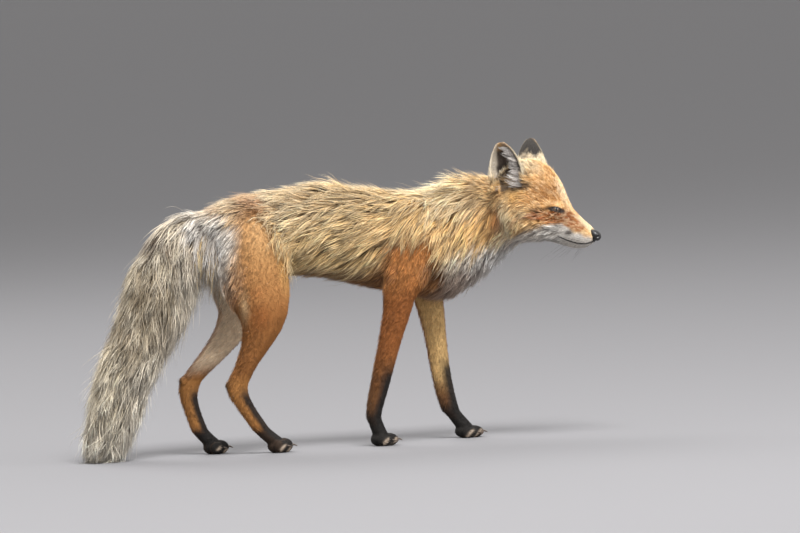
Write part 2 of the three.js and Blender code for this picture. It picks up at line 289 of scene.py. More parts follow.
paws = {  # places and sizes in millimetres
    "hind_right": {"heel": -119, "length": 46, "knuckle": 12, "shank": "hind_shank_right"},
    "hind_left": {"heel": -210, "length": 46, "knuckle": 11.5, "shank": "hind_shank_left"},
    "fore_right": {"heel": 43, "length": 50, "knuckle": 10.5, "shank": "forearm_right"},
    "fore_left": {"heel": 187, "length": 52, "knuckle": 10, "shank": "forearm_left"},
}
pawShape = {"track": 30, "flat": 1.2, "fullLength": 50, "heelAhead": 13, "heelRadii": (13.4, 13.6, 11.6),
            "toes": [(30, 6.6, 14.2, 0), (21.5, 14.0, 12.8, 1)],  # ahead, out, reach, lower than the knuckle
            "toeHalf": 6.7, "ankleAhead": 17, "ankleRise": 15, "ankleRadius": 11.6, "ankleGrowth": 0.8,
            "ankleBalls": 7}
hocks = {"middles": [(-174, -30, 108), (-239, 30, 117)], "radii": (7, 6.5, 8)}
earShape = {"height": 74, "base": (44, 42, 386),
            "lean": {"right": (-0.1, 0.19, 1), "left": (-0.02, 0.22, 1)},
            "opening": {"right": 74, "left": 88}, "halfWidth": 20.4, "tipWidth": 6.4, "bluntness": 3.6,
            "rims": (2.15, 1.0), "arch": -6, "depth": 0.8, "thickness": 3.0, "levels": 34, "across": 28}
eyeShape = {"radius": 8.6, "gaze": 50, "rise": 0.08, "slant": 15, "half": 7.7, "upper": 3.1, "lower": 3.0,
            "corner": 2.4, "lid": 0.75, "cover": 1.4, "sunk": 1.6, "reach": 2.9, "open": 0.94, "rim": 0.62,
            "rimLift": 0.25, "pupil": (0.17, 0.36), "cornea": 0.55}
skinShape = {"voxel": 1.5, "puff": 0.5, "bodyRounds": 26, "faceRounds": 5, "depthRounds": 12,
             "lastRounds": 8, "triangles": 186000, "softness": 9, "fullness": 0.92, "lowest": 0.2}


def spine(names, axis, spacing=26):
    # middles and mean radii of the slices of some solids along an axis, in metres
    cloud = np.concatenate([nodeShape[n][0] for n in names])
    axis = unit(np.array(axis, float))
    side = unit(np.cross([0, 0, 1], axis)) if abs(axis[2]) < 0.9 else np.array([0, 1.0, 0])
    rise = np.cross(axis, side)
    local = np.stack([cloud @ axis, cloud @ side, cloud @ rise], axis=1)
    middles = []
    radii = []
    for low in np.arange(local[:, 0].min(), local[:, 0].max(), spacing * mm):
        near = local[(local[:, 0] > low - 0.5 * spacing * mm) & (local[:, 0] < low + 1.5 * spacing * mm)]
        if len(near) < 6:
            continue
        middle = (near.max(0) + near.min(0)) / 2
        middles.append(middle[0] * axis + middle[1] * side + middle[2] * rise)
        radii.append(np.linalg.norm((near - middle)[:, 1:], axis=1).mean())
    return np.array(middles), np.array(radii)


spines = {
    "trunk": spine(["trunk"], (1, 0, 0)),
    "neck": spine(["neck"], (1, -0.15, 0)),
    "head": spine(["head"], headAhead),
    "tail": spine(["tail"], (0, 0, -1)),
}
for hand in sides:
    spines["hind_" + hand] = spine(["thigh_" + hand, "hind_shank_" + hand, "hind_paw_" + hand], (0, 0, -1))
    spines["fore_" + hand] = spine(["shoulder_" + hand, "forearm_" + hand, "fore_paw_" + hand], (0, 0, -1))
regionNames = list(spines)


def alongSpine(points, name):
    # distance to the middle line, the radius there, how far along (0 to 1), its direction, its nearest place
    middles, radii = spines[name]
    lengths = np.linalg.norm(np.diff(middles, axis=0), axis=1)
    runs = np.concatenate([[0], np.cumsum(lengths)]) / lengths.sum()
    best = np.full(len(points), np.inf)
    where = np.zeros(len(points), int)
    share = np.zeros(len(points))
    for i, length in enumerate(lengths):
        ahead = (middles[i + 1] - middles[i]) / length
        t = np.clip((points @ ahead - middles[i] @ ahead) / length, 0, 1)
        gap = ((points - middles[i] - t[:, None] * (ahead * length)) ** 2) @ np.ones(3)
        closer = gap < best
        best[closer] = gap[closer]
        share[closer] = t[closer]
        where[closer] = i
    radius = radii[where] + share * (radii[where + 1] - radii[where])
    heading = (np.diff(middles, axis=0) / lengths[:, None])[where]
    nearest = middles[where] + share[:, None] * (middles[where + 1] - middles[where])
    return np.sqrt(best), radius, runs[where] + share * (runs[where + 1] - runs[where]), heading, nearest


def regionWeights(points):
    gaps = []
    for name in regionNames:
        gap, radius = alongSpine(points, name)[:2]
        gaps.append(gap - radius * skinShape["fullness"])
    gaps = np.stack(gaps, axis=1)
    weights = np.exp(-(gaps - gaps.min(1, keepdims=True)) / (skinShape["softness"] * mm))
    return weights / weights.sum(1, keepdims=True)


def earAxes(hand):
    lean = unit(np.array(earShape["lean"][hand], float))
    opening = math.radians(earShape["opening"][hand])
    facing = np.array([math.cos(opening), math.sin(opening), 0])
    facing = unit(facing - facing @ lean * lean)
    return lean, facing, np.cross(lean, facing)


def earPoint(hand, t, turn, inset=0.0, lift=0.0):
    # t runs from the base to the tip, turn from -1 to 1 round the back of the ear
    e = earShape
    lean, facing, sideways = earAxes(hand)
    rim = e["rims"][0] + (e["rims"][1] - e["rims"][0]) * t
    width = e["halfWidth"] * (1 - t ** e["bluntness"]) + e["tipWidth"]
    radius = max(width / math.sin(min(rim, math.pi / 2)) - inset, 0.5)
    angle = rim * turn
    spot = (np.array(e["base"]) + lean * (t * (e["height"] - inset / 2) + lift) + facing * e["arch"] * t
            + sideways * math.sin(angle) * radius - facing * math.cos(angle) * radius * e["depth"])
    return onHead(spot[0], sides[hand] * spot[1], spot[2])


def earShell(hand):
    levels = earShape["levels"]
    across = earShape["across"]
    rings = []
    for i in range(levels):
        t = i / (levels - 1)
        turns = np.linspace(-1, 1, across)
        rings.append([earPoint(hand, t, u) for u in turns]
                     + [earPoint(hand, t, u, earShape["thickness"]) for u in turns[::-1]])
    return loft(np.array(rings))


def loft(rings):
    count = rings.shape[1]
    points = np.concatenate([rings.reshape(-1, 3), rings[:1].mean(1), rings[-1:].mean(1)])
    triangles = []
    for r in range(len(rings) - 1):
        a = r * count + np.arange(count)
        b = r * count + (np.arange(count) + 1) % count
        triangles += [np.stack([a, b, b + count], 1), np.stack([a, b + count, a + count], 1)]
    first = np.arange(count)
    last = (len(rings) - 1) * count + first
    following = (first + 1) % count
    triangles += [np.stack([np.full(count, len(points) - 2), following, first], 1),
                  np.stack([np.full(count, len(points) - 1), last, last[following]], 1)]
    return points, np.concatenate(triangles)


def ballShape(centre, radii, around=20, down=12):
    rings = []
    for i in range(down + 1):
        polar = math.pi * (0.02 + 0.96 * i / down)
        turn = np.linspace(0, 2 * math.pi, around, endpoint=False)
        rings.append(np.stack([np.cos(turn) * math.sin(polar), np.sin(turn) * math.sin(polar),
                               np.full(around, -math.cos(polar))], 1))
    points, triangles = loft(np.array(rings))
    return points * np.array(radii) * mm + place(*centre), triangles


def pawShells(kind, hand):
    paw = paws[kind + "_" + hand]
    p = pawShape
    share = paw["length"] / p["fullLength"]
    heel = paw["heel"]
    track = p["track"] * sides[hand]
    reach, half, rise = p["heelRadii"]
    middle = (heel + p["heelAhead"] * share, track, rise - p["flat"])
    shells = [ballShape(middle, (reach * share, half, rise))]
    for ahead, out, reach, lower in p["toes"]:
        for turned in (-1, 1):
            rise = paw["knuckle"] - lower
            shells.append(ballShape((heel + ahead * share, track + turned * out, rise - p["flat"]),
                                    (reach * share, p["toeHalf"], rise)))
    top = inBody(spine([paw["shank"]], (0, 0, -1), 8)[0][-1])
    low = np.array([heel + p["ankleAhead"] * share, track, p["ankleRise"]])
    for t in np.linspace(0, 1, p["ankleBalls"]):
        radius = p["ankleRadius"] + p["ankleGrowth"] * t
        shells.append(ballShape(top + (low - top) * t, (radius, radius, radius * 0.9)))
    return shells


def signedVolumeIsPositive(points, triangles):
    a, b, c = (points[triangles[:, i]] for i in range(3))
    return np.einsum("ij,ij->", a, np.cross(b, c)) > 0


def joinedFlesh():
    shells = []
    for name in fleshNodes:
        if "paw" in name or name.startswith("ear"):
            continue
        points, triangles = nodeShape[name]
        shells.append((points + vertexNormals(points, triangles) * skinShape["puff"] * mm, triangles))
    for hand in sides:
        shells.append(earShell(hand))
        shells += pawShells("hind", hand) + pawShells("fore", hand)
        # the socket is filled with a ball a little wider than the eye, which becomes the lids
        lidded = eyeShape["radius"] + eyeShape["cover"]
        shells.append(ballShape(inBody(eyeCentres[hand]), (lidded, lidded, lidded), 40, 24))
    for spot in hocks["middles"]:
        shells.append(ballShape(spot, hocks["radii"]))
    points = []
    triangles = []
    count = 0
    for shellPoints, shellTriangles in shells:
        if not signedVolumeIsPositive(shellPoints, shellTriangles):
            shellTriangles = shellTriangles[:, ::-1]
        points.append(shellPoints)
        triangles.append(shellTriangles + count)
        count += len(shellPoints)
    return np.concatenate(points), np.concatenate(triangles)


def evaluated(thing):
    graph = bpy.context.evaluated_depsgraph_get()
    mesh = bpy.data.meshes.new_from_object(thing.evaluated_get(graph))
    arrays = meshArrays(mesh)
    bpy.data.meshes.remove(mesh)
    return arrays


def withModifier(points, triangles, kind, settings, keep=None):
    thing = newObject("working_shape", points, triangles)
    modifier = thing.modifiers.new("change", kind)
    for name, value in settings.items():
        setattr(modifier, name, value)
    if keep is not None:
        group = thing.vertex_groups.new(name="easy")
        for level in range(1, 11):
            chosen = np.nonzero(np.round(keep * 10).astype(int) == level)[0].tolist()
            group.add(chosen, level / 10, "REPLACE")
        modifier.vertex_group = "easy"
    arrays = evaluated(thing)
    bpy.data.objects.remove(thing)
    return arrays


def earPlace(points, hand):
    # share of the way up an ear, how far from its middle line sideways and forwards, in millimetres
    head = inHead(points) * [1, sides[hand], 1] - np.array(earShape["base"])
    lean, facing, sideways = earAxes(hand)
    t = head @ lean / earShape["height"]
    return t, head @ sideways, head @ facing - earShape["arch"] * t


earEdges = {"across": (34, 30), "ahead": (26, 22), "up": (0.14, 0.32)}


def earShare(points):
    total = np.zeros(len(points))
    for hand in sides:
        t, across, ahead = earPlace(points, hand)
        near = step(*earEdges["across"], np.abs(across)) * step(*earEdges["ahead"], np.abs(ahead))
        total = np.maximum(total, near * step(*earEdges["up"], t))
    return total


coatDepth = {"back": 10, "belly": 7, "rump": 7, "neck": 11, "chest": 10, "thigh": 2.2, "shoulder": 4,
             "legTop": 2.4, "legFoot": 1.0, "face": 1.3, "forehead": 2.6, "cheek": 6.5, "crown": 3.5,
             "throat": 4, "tailShare": 0.33, "ear": 0.2}
depthEdges = {  # where one depth turns into the next: up, or forwards for the rump, forehead and face
    "belly": (290, 255), "rump": (-120, -190), "chest": (300, 250), "crown": (375, 405),
    "forehead": (70, 95), "face": (98, 122), "throat": (312, 302), "throatEnd": (110, 80),
    "leg": (215, 255), "foot": (180, 70),
}
shoulderShape = {"middle": (130, 278), "radii": (48, 60), "soft": (1.15, 0.85), "out": (14, 28)}


def shoulderPatch(body):
    # the shoulder blade is clothed in short hair; the long hair of the neck hangs over its upper edge
    away = np.linalg.norm((body[:, [0, 2]] - shoulderShape["middle"]) / shoulderShape["radii"], axis=1)
    return step(*shoulderShape["soft"], away) * step(*shoulderShape["out"], np.abs(body[:, 1]))


def depthOfCoat(points, weights):
    body = inBody(points)
    d = coatDepth
    edges = depthEdges
    x, y, z = body.T
    trunk = (d["back"] + (d["belly"] - d["back"]) * step(*edges["belly"], z)
             + (d["rump"] - d["back"]) * step(*edges["rump"], x))
    neck = d["neck"] + (d["chest"] - d["neck"]) * step(*edges["chest"], z)
    along, out, up = inHead(points).T
    head = d["cheek"] + (d["crown"] - d["cheek"]) * step(*edges["crown"], up)
    head = head + (d["forehead"] - head) * step(*edges["forehead"], along)
    head = head + (d["face"] - head) * step(*edges["face"], along)
    throat = step(*edges["throat"], up) * step(*edges["throatEnd"], along)
    head = head + (d["throat"] - head) * throat
    tail = alongSpine(points, "tail")[0] / mm * d["tailShare"]
    depth = (weights[:, :4] * np.stack([trunk, neck, head, tail], axis=1)).sum(1)
    for k, name in enumerate(regionNames[4:], start=4):
        top = d["thigh"] if "hind" in name else d["shoulder"]
        leg = d["legTop"] + (top - d["legTop"]) * step(*edges["leg"], z)
        leg = leg + (d["legFoot"] - leg) * step(*edges["foot"], z)
        depth = depth + weights[:, k] * leg
    depth = depth + (d["shoulder"] - depth) * shoulderPatch(body) * (1 - weights[:, 2])
    ears = earShare(points)
    return depth * (1 - ears) + d["ear"] * ears


smoothing = {  # where the skin is smoothed less: along the head or up, and how much less
    "face": (60, 95), "faceShare": 0.85, "paw": (36, 24), "leg": (235, 190), "legShare": 0.75,
    "bodyPull": 0.6, "pull": 0.5, "earHold": 0.6, "pawHold": 0.75,
}
thinning = {"head": (40, 80), "ears": 0.8, "paws": 0.6, "least": 0.1}  # where the skin keeps more triangles


def makeSkinShape():
    m = smoothing
    points, triangles = joinedFlesh()
    remesh = {"mode": "VOXEL", "voxel_size": skinShape["voxel"] * mm}
    points, triangles = withModifier(points, triangles, "REMESH", remesh)
    report(f"remeshed to {len(points)} points")
    pairs = edgePairs(triangles)
    along = inHead(points)[:, 0]
    rise = points[:, 2] / mm
    weights = regionWeights(points)
    ears = earShare(points)
    face = weights[:, 2] * step(*m["face"], along)
    paw = step(*m["paw"], rise)
    legs = weights[:, 4:].sum(1) * step(*m["leg"], rise) * m["legShare"]
    gentle = np.clip(np.maximum.reduce([face * m["faceShare"], ears, paw, legs]), 0, 1)
    points = relax(points, pairs, skinShape["bodyRounds"], m["bodyPull"] * (1 - gentle))
    held = np.maximum(m["earHold"] * ears, m["pawHold"] * paw)
    points = relax(points, pairs, skinShape["faceRounds"], m["pull"] * (1 - held))
    depth = relax(depthOfCoat(points, weights), pairs, skinShape["depthRounds"], m["pull"])
    # the skin is sunk by the depth of the coat, in the tail towards its middle line
    inwards = -vertexNormals(points, triangles)
    toTail = unit(alongSpine(points, "tail")[4] - points)
    tailShare = weights[:, 3:4]
    inwards = unit(inwards * (1 - tailShare) + toTail * tailShare)
    points = points + inwards * depth[:, None] * mm
    points[:, 2] = np.maximum(points[:, 2], skinShape["lowest"] * mm)
    points = relax(points, pairs, skinShape["lastRounds"], m["pull"] * (1 - gentle))
    kept = [weights[:, 2] * step(*thinning["head"], along), ears * thinning["ears"], paw * thinning["paws"]]
    easy = np.clip(1 - np.maximum.reduce(kept), thinning["least"], 1)
    ratio = skinShape["triangles"] / len(triangles)
    if ratio < 1:
        points, triangles = withModifier(points, triangles, "DECIMATE", {"ratio": ratio}, keep=easy)
    report(f"skin has {len(triangles)} triangles")
    return points, triangles


mouthLine = [  # along, out, up on the head, from under the nose to the corner of the mouth
    (166.5, 2.2, 299.4), (164.5, 5, 297.6), (158.5, 8.5, 296.8), (150.2, 12, 297.2), (142, 14, 298),
    (134.6, 15.5, 299.4), (122.6, 18.5, 303.6), (111.2, 22.5, 309.4), (103, 26, 312.5),
]
mouthGroove = {"depth": 1.1, "width": 2.0, "reach": 8}


def headPoint(row, hand):
    return onHead(row[0], row[1] * sides[hand], row[2])


def eyeAxes(hand):
    # the way the eye looks, towards its front corner, and up
    gaze = math.radians(eyeShape["gaze"])
    out = headLeft * sides[hand]
    look = unit(headAhead * math.cos(gaze) + out * math.sin(gaze) + np.array([0, 0, eyeShape["rise"]]))
    up = unit(np.array([0, 0, 1.0]) - look[2] * look)
    front = headAhead * math.sin(gaze) - out * math.cos(gaze)
    front = unit(front - front @ look * look)
    slant = math.radians(eyeShape["slant"])
    level = front * math.cos(slant) - up * math.sin(slant)
    return look, level, up * math.cos(slant) + front * math.sin(slant)


def eyeLocal(points, hand):
    look, front, up = eyeAxes(hand)
    out = (points - eyeCentres[hand]) / mm
    return out @ front, out @ up, out @ look


def apertureShare(points, hand):
    # 1 on the edge of the lids, less inside, more outside
    x, y, ahead = eyeLocal(points, hand)
    half = eyeShape["half"] + eyeShape["corner"] * step(0, eyeShape["half"], x)
    tall = np.where(y > 0, eyeShape["upper"], eyeShape["lower"])
    share = np.sqrt((x / half) ** 2 + (y / tall) ** 2)
    return np.where(ahead > 0, share, 9.0)


earHollow = {"sides": (1.0, 0.82), "foot": (-0.09, 0.1), "top": (0.55, 0.42), "reach": 16}


def earWidth(t):
    # half the width of an ear at some share of its height
    return earShape["halfWidth"] * (1 - np.clip(t, 0, 1) ** earShape["bluntness"]) + earShape["tipWidth"]


def hollowEars(points):
    # the fur-filled bowl at the foot of each ear is opened down to the skull
    for hand in sides:
        t, across, ahead = earPlace(points, hand)
        lean, facing, sideways = earAxes(hand)
        radius = earWidth(t) - earShape["thickness"]
        angle = np.arcsin(np.clip(across / radius, -1, 1))
        floor = -np.cos(angle) * radius * earShape["depth"]
        mine = (points - headMiddle) @ headLeft * sides[hand] > 0
        inside = step(*earHollow["sides"], np.abs(across) / radius) * mine
        inside = inside * step(*earHollow["foot"], t) * step(*earHollow["top"], t)
        inside = inside * (ahead > floor) * (ahead < earHollow["reach"])
        back = facing[0] * headAhead + facing[1] * sides[hand] * headLeft + np.array([0, 0, facing[2]])
        points = points + back * (inside * (floor - ahead))[:, None] * mm
    return points


def shapeFace(points, triangles):
    e = eyeShape
    for hand in sides:
        share = apertureShare(points, hand)
        out = points - eyeCentres[hand]
        gap = np.linalg.norm(out, axis=1) / mm
        lidded = e["radius"] + e["lid"]
        outside = np.maximum(lidded + (gap - lidded) * step(1.0, e["reach"], share), lidded)
        inside = e["radius"] - e["sunk"]
        ahead = eyeLocal(points, hand)[2]
        wanted = np.where(share < e["open"], inside, np.where(ahead > -3, outside, gap))
        points = eyeCentres[hand] + unit(out) * wanted[:, None] * mm
    points = hollowEars(points)
    normals = vertexNormals(points, triangles)
    head = inHead(points)
    for hand in sides:
        line = np.array([headPoint(row, hand) for row in mouthLine])
        gap = np.full(len(points), np.inf)
        for a, b in zip(line[:-1], line[1:]):
            t = np.clip((points - a) @ (b - a) / ((b - a) @ (b - a)), 0, 1)
            gap = np.minimum(gap, np.linalg.norm(points - a - t[:, None] * (b - a), axis=1) / mm)
        near = (head[:, 1] * sides[hand] > -1) & (gap < mouthGroove["reach"])
        deep = mouthGroove["depth"] * bell(gap[near], 0, mouthGroove["width"]) * mm
        points[near] -= normals[near] * deep[:, None]
    return points


skinPoints, skinTriangles = makeSkinShape()
skinPairs = edgePairs(skinTriangles)
skinPoints = shapeFace(skinPoints, skinTriangles)
skinNormals = vertexNormals(skinPoints, skinTriangles)
skinWeights = regionWeights(skinPoints)
skinEars = earShare(skinPoints)
skinBody = inBody(skinPoints)
skinHead = inHead(skinPoints)

# Each part of the body is rolled out round its own middle line into a chart of one atlas, which the
# skin and the coat share.

charts = {  # left, low, width, height in the atlas
    "trunk": (0.01, 0.56, 0.44, 0.43), "neck": (0.47, 0.56, 0.26, 0.43), "head": (0.01, 0.11, 0.33, 0.43),
    "tail": (0.75, 0.31, 0.24, 0.68), "hind_right": (0.36, 0.28, 0.17, 0.26),
    "hind_left": (0.55, 0.28, 0.18, 0.26), "fore_right": (0.36, 0.01, 0.17, 0.25),
    "fore_left": (0.55, 0.01, 0.18, 0.25), "ear_right": (0.75, 0.01, 0.11, 0.28),
    "ear_left": (0.88, 0.01, 0.11, 0.28),
}
chartGuides = {"level": [0.03, -0.04, 1.0], "upright": [1.0, 0.1, 0.05]}  # off any seam's own direction
chartEnd = 0.03  # room past each end of a middle line, in metres


def rolledOut(points, name):
    # round and along a part, both from 0 to 1
    if name.startswith("ear"):
        hand = name[4:]
        t, across, ahead = earPlace(points, hand)
        return np.arctan2(ahead + 4, across) / (2 * math.pi) + 0.5, np.clip(t, 0, 1)
    share, heading, nearest = alongSpine(points, name)[2:]
    guide = chartGuides["level" if name in ("trunk", "neck", "head") else "upright"]
    side = unit(np.cross(heading, guide))
    rise = np.cross(side, heading)
    out = points - nearest
    turn = np.arctan2((out * rise).sum(1), (out * side).sum(1)) / (2 * math.pi) + 0.5
    # past its two ends the middle line is taken to run straight on
    middles = spines[name][0]
    total = np.linalg.norm(np.diff(middles, axis=0), axis=1).sum()
    past = np.clip((points - middles[-1]) @ unit(middles[-1] - middles[-2]), 0, None)
    before = np.clip((middles[0] - points) @ unit(middles[1] - middles[0]), 0, None)
    return turn, (share * total + past - before + chartEnd) / (total + 2 * chartEnd)


skinPart = np.argmax(skinWeights, axis=1)
for k, hand in enumerate(sides):
    skinPart[(skinEars > 0.5) & (skinHead[:, 1] * sides[hand] > 0)] = len(regionNames) + k
chartNames = regionNames + ["ear_" + hand for hand in sides]


def atlasPlaces(points, parts):
    # points has any leading shape, with the part chosen for each row
    flat = points.reshape(len(parts), -1, 3)
    places = np.zeros(flat.shape[:2] + (2,))
    for k, name in enumerate(chartNames):
        rows = np.nonzero(parts == k)[0]
        if len(rows) == 0:
            continue
        chosen = flat[rows]
        turn, share = rolledOut(chosen.reshape(-1, 3), name)
        turn = turn.reshape(chosen.shape[:2])
        turn = turn - np.round(turn - turn[:, :1])  # a face across the seam stays in one piece
        left, low, width, height = charts[name]
        places[rows, :, 0] = left + width * np.clip(0.02 + 0.96 * turn, 0, 1)
        places[rows, :, 1] = low + height * np.clip(share.reshape(chosen.shape[:2]), 0, 1)
    return places


def giveUnwrap(thing, cornerPlaces):
    layer = thing.data.uv_layers.new(name="OFBake")
    layer.data.foreach_set("uv", np.ascontiguousarray(cornerPlaces, np.float32).ravel())


# Zones of the coat: length, width, depth, clump spacing, clumping, wave, locks per square centimetre;
# lengths are in millimetres.

zones = {
    "back": (50, 0.92, 13, 7.5, 0.84, 2.6, 14.5), "flank": (64, 0.92, 12, 8, 0.86, 3.4, 14.5),
    "belly": (24, 0.85, 6, 9, 0.55, 1.6, 12), "rump": (27, 0.85, 7, 7, 0.6, 1.6, 17),
    "neck": (56, 0.85, 13, 7.5, 0.78, 1.9, 16), "chest": (31, 0.85, 12, 6, 0.6, 2.4, 16),
    "tail": (60, 1.05, 20, 9, 0.56, 3.4, 16), "thigh": (13, 0.55, 2.4, 6, 0.2, 0.6, 28),
    "shoulder": (13, 0.58, 3.0, 6, 0.25, 0.6, 24), "legTop": (9, 0.55, 1.7, 5, 0.2, 0.4, 20),
    "legLow": (6.5, 0.52, 1.2, 4, 0.2, 0.4, 20), "paw": (4.5, 0.5, 0.9, 4, 0.2, 0.3, 30),
    "muzzle": (4.6, 0.5, 1.0, 3, 0.2, 0.3, 70), "forehead": (10.5, 0.6, 2.4, 4.5, 0.35, 0.25, 42),
    "cheek": (19, 0.72, 6, 6, 0.55, 1.2, 27), "jaw": (10, 0.62, 2.8, 4.5, 0.4, 0.7, 38),
    "crown": (16, 0.64, 4.6, 5, 0.45, 0.3, 30), "earBack": (4.6, 0.5, 0.5, 3, 0.15, 0.2, 46),
    "earFront": (4, 0.4, 0.6, 4, 0.3, 0.3, 26),
}
zoneNames = list(zones)
# The dark root colours are the underfur. On the back and flank they are set darker still, as painted shade
# in the gaps between locks.
zoneColours = {  # middle of the hair, root, tip
    "back": ("#D2B07B", "#382D22", "#FEEFCF"), "flank": ("#D6B47B", "#3E3020", "#FEEFC9"),
    "belly": ("#86592F", "#4A3420", "#B48C5A"), "rump": ("#CDB497", "#5A4C40", "#F6EBDA"),
    "neck": ("#EABD76", "#8A6234", "#FFEBBE"), "chest": ("#DEDAD6", "#868280", "#FAF9F7"),
    "tail": ("#D2C4A8", "#8C7E68", "#FDF6E8"), "thigh": ("#C2915A", "#8A5C34", "#D2A873"),
    "shoulder": ("#CE8A4B", "#8E5428", "#E0A86C"), "legTop": ("#8C5629", "#5A3619", "#AA7440"),
    "legLow": ("#6C431F", "#402713", "#8A5E36"), "paw": ("#191512", "#0B0908", "#28221E"),
    "muzzle": ("#D2AA76", "#A67C50", "#E6CDA4"), "forehead": ("#DBA668", "#98642F", "#F6D8A6"),
    "cheek": ("#D2A362", "#95683A", "#EBCB94"), "jaw": ("#B9B4AC", "#5E5853", "#E6E2DC"),
    "crown": ("#E0B880", "#98703F", "#FAE4BC"), "earBack": ("#262322", "#121010", "#46423F"),
    "earFront": ("#41362F", "#241C18", "#8A7C6E"),
}


zoneEdges = {  # where one zone turns into the next: forwards or up on the body, along or up on the head
    "rump": (-125, -185), "belly": (292, 268), "back": (345, 385), "chest": (330, 300), "breast": (26, 12),
    "legTop": (215, 260), "legLow": (150, 95), "paw": (42, 28), "armpit": (312, 345), "neck": (95, 150),
    "thighRear": (-146, -168), "thighHigh": (205, 240), "muzzle": (112, 128), "crown": (378, 398),
    "crownEnd": (88, 66), "forehead": (338, 356), "foreheadEnd": (58, 82), "jaw": (318, 304),
    "earFront": (0.0, 0.35),
}


def blob(local, middle, radii, soft=0.35, mirrored=True):
    # a soft patch on the right side, or on both
    aside = np.abs(local[:, 1]) if mirrored else -local[:, 1]
    local = np.stack([local[:, 0], aside, local[:, 2]], 1)
    away = np.linalg.norm((local - middle) / np.array(radii, float), axis=1)
    return step(1 + soft, 1 - soft, away)


def facingOut():
    # how far the skin faces the opening of its ear
    front = np.zeros(len(skinPoints))
    for hand in sides:
        facing = earAxes(hand)[1] * [1, sides[hand], 1]
        turned = facing[0] * headAhead + facing[1] * headLeft + [0, 0, facing[2]]
        mine = skinHead[:, 1] * sides[hand] > 0
        front[mine] = step(*zoneEdges["earFront"], skinNormals[mine] @ turned)
    return front


skinFront = facingOut()


def zoneShares():
    x, y, z = skinBody.T
    along, out, up = skinHead.T
    edges = zoneEdges
    shares = {name: np.zeros(len(x)) for name in zoneNames}
    trunk, neck, head, tail = skinWeights.T[:4]
    rump = step(*edges["rump"], x)
    belly = step(*edges["belly"], z) * (1 - rump)
    back = step(*edges["back"], z) * (1 - rump) * (1 - belly)
    shares["rump"] += trunk * rump
    shares["belly"] += trunk * belly
    shares["back"] += trunk * back
    shares["flank"] += trunk * (1 - rump - belly - back)
    breast = step(*edges["breast"], np.abs(y)) * step(*edges["chest"], z) * 0.6
    chest = np.clip(step(*edges["chest"], z + 0.12 * (250 - x)) + breast, 0, 1)
    shares["chest"] += neck * chest
    shares["neck"] += neck * (1 - chest)
    shares["tail"] += tail
    top = step(*edges["legTop"], z)
    paw = step(*edges["paw"], z)
    low = step(*edges["legLow"], z) * (1 - paw)
    for k, name in enumerate(regionNames[4:], start=4):
        leg = skinWeights[:, k]
        if "fore" in name:
            high = top * step(*edges["armpit"], z + 0.4 * np.abs(x - 140))
            forwards = step(*edges["neck"], x)
            shares["neck"] += leg * high * forwards
            shares["flank"] += leg * high * (1 - forwards)
            shares["shoulder"] += leg * (top - high)
        else:
            rear = step(*edges["thighRear"], x) * step(*edges["thighHigh"], z)
            shares["thigh"] += leg * top * (1 - rear)
            shares["rump"] += leg * top * rear
        shares["legLow"] += leg * low
        shares["paw"] += leg * paw
        shares["legTop"] += leg * np.clip(1 - top - low - paw, 0, 1)
    patch = shoulderPatch(skinBody) * (1 - head)
    for name in ("neck", "flank", "back", "chest"):
        shares["shoulder"] += shares[name] * patch
        shares[name] *= 1 - patch
    onHeadShares = {"muzzle": step(*edges["muzzle"], along)}
    rest = 1 - onHeadShares["muzzle"]
    crown = step(*edges["crown"], up) * rest * step(*edges["crownEnd"], along)
    onHeadShares["crown"] = crown
    forehead = step(*edges["forehead"], up) * rest * (1 - crown) * step(*edges["foreheadEnd"], along)
    onHeadShares["forehead"] = forehead
    onHeadShares["jaw"] = step(*edges["jaw"], up - 0.08 * (along - 100)) * rest
    onHeadShares["cheek"] = np.clip(1 - sum(onHeadShares.values()), 0, 1)
    for name, share in onHeadShares.items():
        shares[name] += head * share
    table = np.stack([shares[name] for name in zoneNames], axis=1) * (1 - skinEars)[:, None]
    table[:, zoneNames.index("earBack")] += skinEars * (1 - skinFront)
    table[:, zoneNames.index("earFront")] += skinEars * skinFront
    table = relax(table, skinPairs, 4, 0.5)
    return table / table.sum(1, keepdims=True)


skinZones = zoneShares()
fieldTable = skinZones @ np.array([zones[name] for name in zoneNames], float)
fieldNames = ["length", "width", "depth", "spacing", "clumping", "wave", "density"]
fields = {name: fieldTable[:, k] for k, name in enumerate(fieldNames)}


def lengthen(share, length, depth):
    fields["length"] += length * share
    fields["depth"] += depth * share


def shorten(share, length, depth=0.0):
    fields["length"] *= 1 - length * share
    fields["depth"] *= 1 - depth * share


def fitFields():
    x, y, z = skinBody.T
    head = skinWeights[:, 2]
    # the brush thins out where it meets the floor, and long hair stops short of the thighs
    onFloor = np.minimum(fields["length"], 10 + z)
    fields["length"] = np.where(skinWeights[:, 3] > 0.5, onFloor, fields["length"])
    nearThigh = relax(skinWeights[:, [4, 6]].sum(1), skinPairs, 40, 0.6)
    shorten(step(0.01, 0.25, nearThigh) * step(-150, -110, x), 0.75)
    shorten(head * blob(skinHead, (48, 54, 378), (24, 16, 13), 0.5), 0.6, 0.6)
    upEar = np.maximum(*(earPlace(skinPoints, hand)[0] for hand in sides))
    lengthen(skinZones[:, zoneNames.index("earBack")] * step(0.62, 0.3, upEar), 6, 2.2)
    shorten(head * blob(skinHead, (44, -58, 390), (20, 12, 14), 0.5, mirrored=False), 0.6)
    # a fringe down the rear of each leg
    rear = skinWeights[:, 4:].sum(1) * step(0.25, -0.6, skinNormals[:, 0])
    lengthen(rear * step(30, 60, z) * step(230, 190, z), 4, 1.3)


fitFields()
report("zones are laid out")


def headDirection(ahead, out, up):
    # a direction given in the head's own axes, out being away from its middle on either side
    hand = np.sign(skinHead[:, 1])[:, None]
    return (np.asarray(ahead)[..., None] * headAhead + np.asarray(out)[..., None] * hand * headLeft
            + np.asarray(up)[..., None] * np.array([0, 0, 1.0]))


